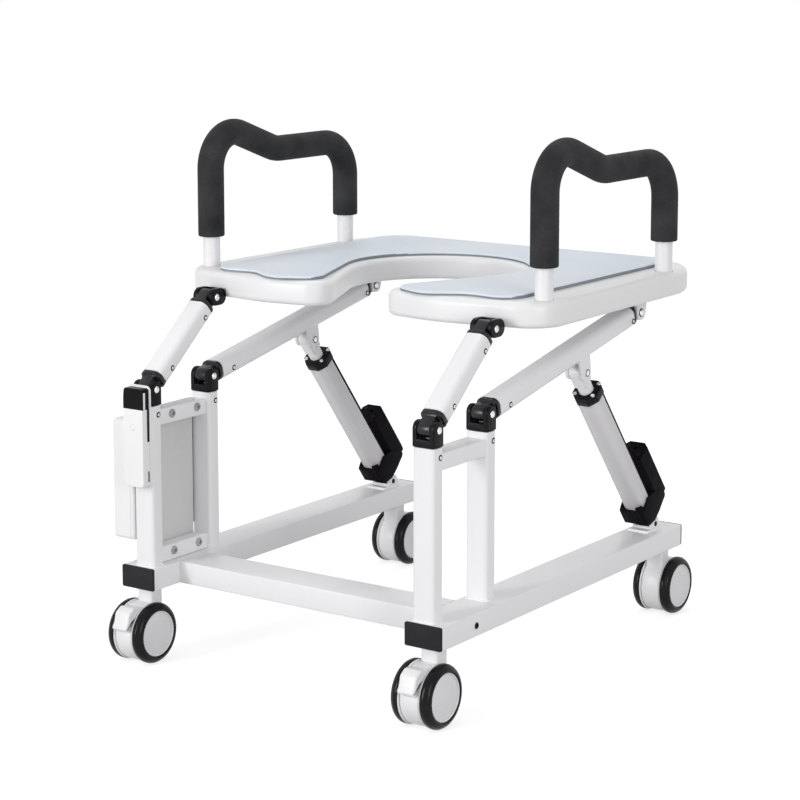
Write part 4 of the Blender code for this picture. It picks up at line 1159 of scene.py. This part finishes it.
def make_seat_clevises():
    """The seat's four clevises with their pins."""
    front = make_front_clevis()
    rear = make_rear_clevis()
    for side, name in SIDES:
        x = side * SIDE_X
        for form, place, pivot, finish, reach in ((front, "front", FRONT_UPPER, JOINT_BLACK, 15),
                                                  (rear, "rear", REAR_UPPER, FRAME_WHITE, 14)):
            cad = "seat_%s_bracket_%s" % (place, name)
            settle(moved(copied(form), (x, 0, 0)), cad + "_form", "seat", finish, cad)
            hinge_pin("seat_pin_%s_%s" % (place, name), pivot, "seat", x, reach)
        settle(stood(PIN_RING, (x + reach, *pivot)), "seat_pin_ring_" + name, "seat", JOINT_BLACK)
    discard(front, rear)


# Hand rails and grips

def rail_pipe(bottom, radius, *rounds):
    """A pipe along the hand rail, up from the front socket and down to the rear one."""
    front, rear = HANDLE_Y
    corners = ((front, 653.3, 45), (327.4, 607, 60), (rear, 607, 47))
    path = [(front, bottom)] + [corner[:2] for corner in corners] + [(rear, bottom)]
    steps = []
    at = path[0]
    for index, (y, z, rounding) in enumerate(corners):
        start, centre, turn = bend(path[index], (y, z), path[index + 2], rounding)
        steps.append(('run', start[0] - at[0], start[1] - at[1]))
        steps.append(('bend', centre, turn))
        at = swung(start, centre, turn)
    steps.append(('run', path[-1][0] - at[0], path[-1][1] - at[1]))
    return piped((0, front, bottom), steps, radius, *rounds)


def make_hand_rails():
    """Both bent rails, and the foam over their upper parts."""
    pipe = rail_pipe(SEAT_Z[1] - 13.5, 11)
    sleeve = rail_pipe(GRIP_FOOT, 16.9, (lies('Z', GRIP_FOOT), 2.2, 4))
    for side, name in SIDES:
        for form, kind, finish in ((pipe, "hand_rail_" + name, FRAME_WHITE),
                                   (sleeve, "hand_rail_grip_" + name, GRIP_FOAM)):
            settle(moved(copied(form), (side * HANDLE_X, 0, 0)), kind + "_form", "seat", finish,
                   kind)
    discard(pipe, sleeve)


# Control box and handset, on the left posts

def make_control_box():
    """The two halves of the box, the sheet it is bolted to and the board inside."""
    outer, joint, inner = -254, (-226.4, -226.1), -222.2
    cover = slab((outer, 6, 150), (joint[0], 139, 300), (runs('X'), 5, 5),
                 (lies('X', outer), 3, 4), (lies('X', joint[0]), 0.5, 2))
    settle(cover, "control_box_outer_half", "base", CASE_WHITE, "control_box_cover")
    back = slab((joint[1], 6, 150), (inner, 139, 300), (runs('X'), 5, 5),
                (lies('X', joint[1], inner), 0.5, 2))
    boss = slab((-223.2, 32, 160), (-219.3, 112, 288), (runs('X'), 3, 3))
    settle(gathered(back, boss), "control_box_inner_half", "base", CASE_WHITE, "control_box_back")
    groove = slab((-226.6, 6.8, 150.8), (-225.9, 138.2, 299.2), (runs('X'), 4.4, 5))
    settle(groove, "control_box_joint_line", "base", SHEET_GREY)
    sheet = slab((-219, 28.4, 119.8), (-216.3, 113.3, 312.6))
    settle(soften(sheet, 0.6, 3), "control_box_sheet", "base", SHEET_GREY, "control_box_plate")
    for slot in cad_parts["control_board"].material_slots:
        slot.material = BOARD


def make_handset():
    """The handset: white body, gloss black head, button, black strips of painted shadow on its
    side, and holder.
    """
    left, front, low = -221.5, -9, 222
    right, back, high = -191, 2.7, 344
    seam = 318.5
    upright, on_front = runs('Y'), lies('Y', front)
    body = slab((left, front, low), (right, back, seam),
                (lambda a, b: upright(a, b) and a.z < 230 * MM, 5, 6),
                (lambda a, b: on_front(a, b) and max(a.z, b.z) < (seam - 0.1) * MM, 1.6, 4))
    cut(body, bar((-207.5, -12, 296), (-207.5, -6.2, 296), 4.2, 32))
    settle(body, "handset_case", "handset", CASE_WHITE, "handset_body")
    head = slab((left, front, seam), (right, back, high),
                (lambda a, b: upright(a, b) and a.z > 340 * MM, 3.5, 6),
                (lambda a, b: on_front(a, b) and min(a.z, b.z) > (seam + 0.1) * MM, 1.6, 4))
    settle(head, "handset_head", "handset", GLOSS_BLACK, "handset_body")
    push = stood(BUTTON, (-207.5, -6.2, 296), (0, -1, 0))
    settle(push, "handset_push_button", "button", CASE_WHITE, "handset_button")
    # Black strips on the side face stand in for the shadow in the gap between the handset and its
    # holder: painted shadow.
    strip = slab((-191.8, -0.8, 278.5), (-190.5, back, seam))
    low_shadow_strip = slab((-191.8, 0, 229), (-190.5, 1.8, 242))
    settle(soften(gathered(strip, low_shadow_strip), 0.2, 1), "handset_painted_shadow_strips", "handset", GLOSS_BLACK)
    # A thin white strip on the head's plus X side, just behind its front edge.
    head_side_strip = slab((-191.4, -7.2, 318.8), (-190.7, -3.8, 339.5))
    settle(soften(head_side_strip, 0.2, 1), "handset_head_white_strip", "handset", CASE_WHITE)
    plate = slab((-225.5, 3, 220.5), (-189.5, 5.7, 346.5), (runs('Y'), 6.5, 6),
                 (lies('Y', 3, 5.7), 0.7, 2))
    boss = slab((-219, 4.7, 235), (-194, 7.6, 312), (runs('Y'), 3, 3))
    settle(gathered(plate, boss), "handset_holder_plate", "base", CASE_WHITE, "handset_holder")


# Floor, light and camera

def seen_directly(tree):
    """One for camera, glossy and transmission rays, and nothing for the rest."""
    path = add(tree, 'LightPath').outputs
    glossy = calculate(tree, 'MAXIMUM', path["Is Camera Ray"], path["Is Glossy Ray"])
    return calculate(tree, 'MAXIMUM', glossy, path["Is Transmission Ray"])


def make_floor():
    """A pale floor that reads white to the camera and keeps a soft shadow."""
    bpy.ops.mesh.primitive_plane_add(size=14.0, location=ORIGIN)
    floor = bpy.context.object
    floor.name = "floor"
    material, tree, shader = new_finish("floor_paper")
    grain = placed(tree, GRAIN, Grains=30.0, Clouds=0.6)
    tint(tree, shader, grain["Tone"], (0.50, 0.50, 0.50), (0.51, 0.51, 0.51))
    give(tree, shader, Roughness=0.9, Specular_IOR_Level=0.0)
    glow = add(tree, 'Emission', Color=(0.72, 0.72, 0.72), Strength=seen_directly(tree))
    both = add(tree, 'AddShader')
    feed(tree, both.inputs[0], shader.outputs[0])
    feed(tree, both.inputs[1], glow.outputs[0])
    give(tree, tree.nodes["Material Output"], Surface=both.outputs[0])
    floor.data.materials.append(material)


def make_world():
    """White where it is seen, and an even soft light elsewhere."""
    world = bpy.data.worlds.new("studio")
    bpy.context.scene.world = world
    world.use_nodes = True
    tree = world.node_tree
    give(tree, tree.nodes["Background"], Color=(1.0, 1.0, 1.0),
         Strength=spread(tree, seen_directly(tree), 0.0, 1.0, AMBIENT, 1.0))


def make_lamp(name, place, width, height, power):
    """A soft box that faces the middle of the lift."""
    bpy.ops.object.light_add(type='AREA', location=place)
    lamp = bpy.context.object
    lamp.name = name
    lamp.data.shape = 'RECTANGLE'
    lamp.data.size = width
    lamp.data.size_y = height
    lamp.data.energy = power
    aim = Vector((0.0, 0.0, 0.30)) - Vector(place)
    lamp.rotation_euler = aim.to_track_quat('-Z', 'Y').to_euler()


def make_camera():
    """The photograph's viewpoint."""
    bpy.ops.object.camera_add(location=(1.61948, -2.3395, 0.87783),
                              rotation=(math.pi / 2 - 0.15329, 0.0, 0.60823))
    camera = bpy.context.object
    camera.data.lens = 103.574
    camera.data.sensor_width = 36.0
    camera.data.shift_x = -0.00544
    camera.data.shift_y = -0.13
    bpy.context.scene.camera = camera


make_camera()
for side, name in SIDES:
    make_rail(side, name)
    make_posts(side, name)
make_cross_member()
make_cups()
make_arms()
make_actuators()
make_casters()
make_seat()
make_pad()
make_seat_clevises()
make_hand_rails()
make_control_box()
make_handset()
discard(*FITTINGS)
make_floor()
make_world()
make_lamp("front_soft_box", (-1.2, -3.3, 1.15), 0.7, 1.9, 53.0)
make_lamp("side_soft_box", (3.0, -1.6, 1.10), 0.9, 1.9, 31.0)
make_lamp("top_soft_box", (-0.5, 1.2, 3.2), 1.6, 1.6, 20.0)
bpy.context.scene.view_settings.view_transform = 'Standard'
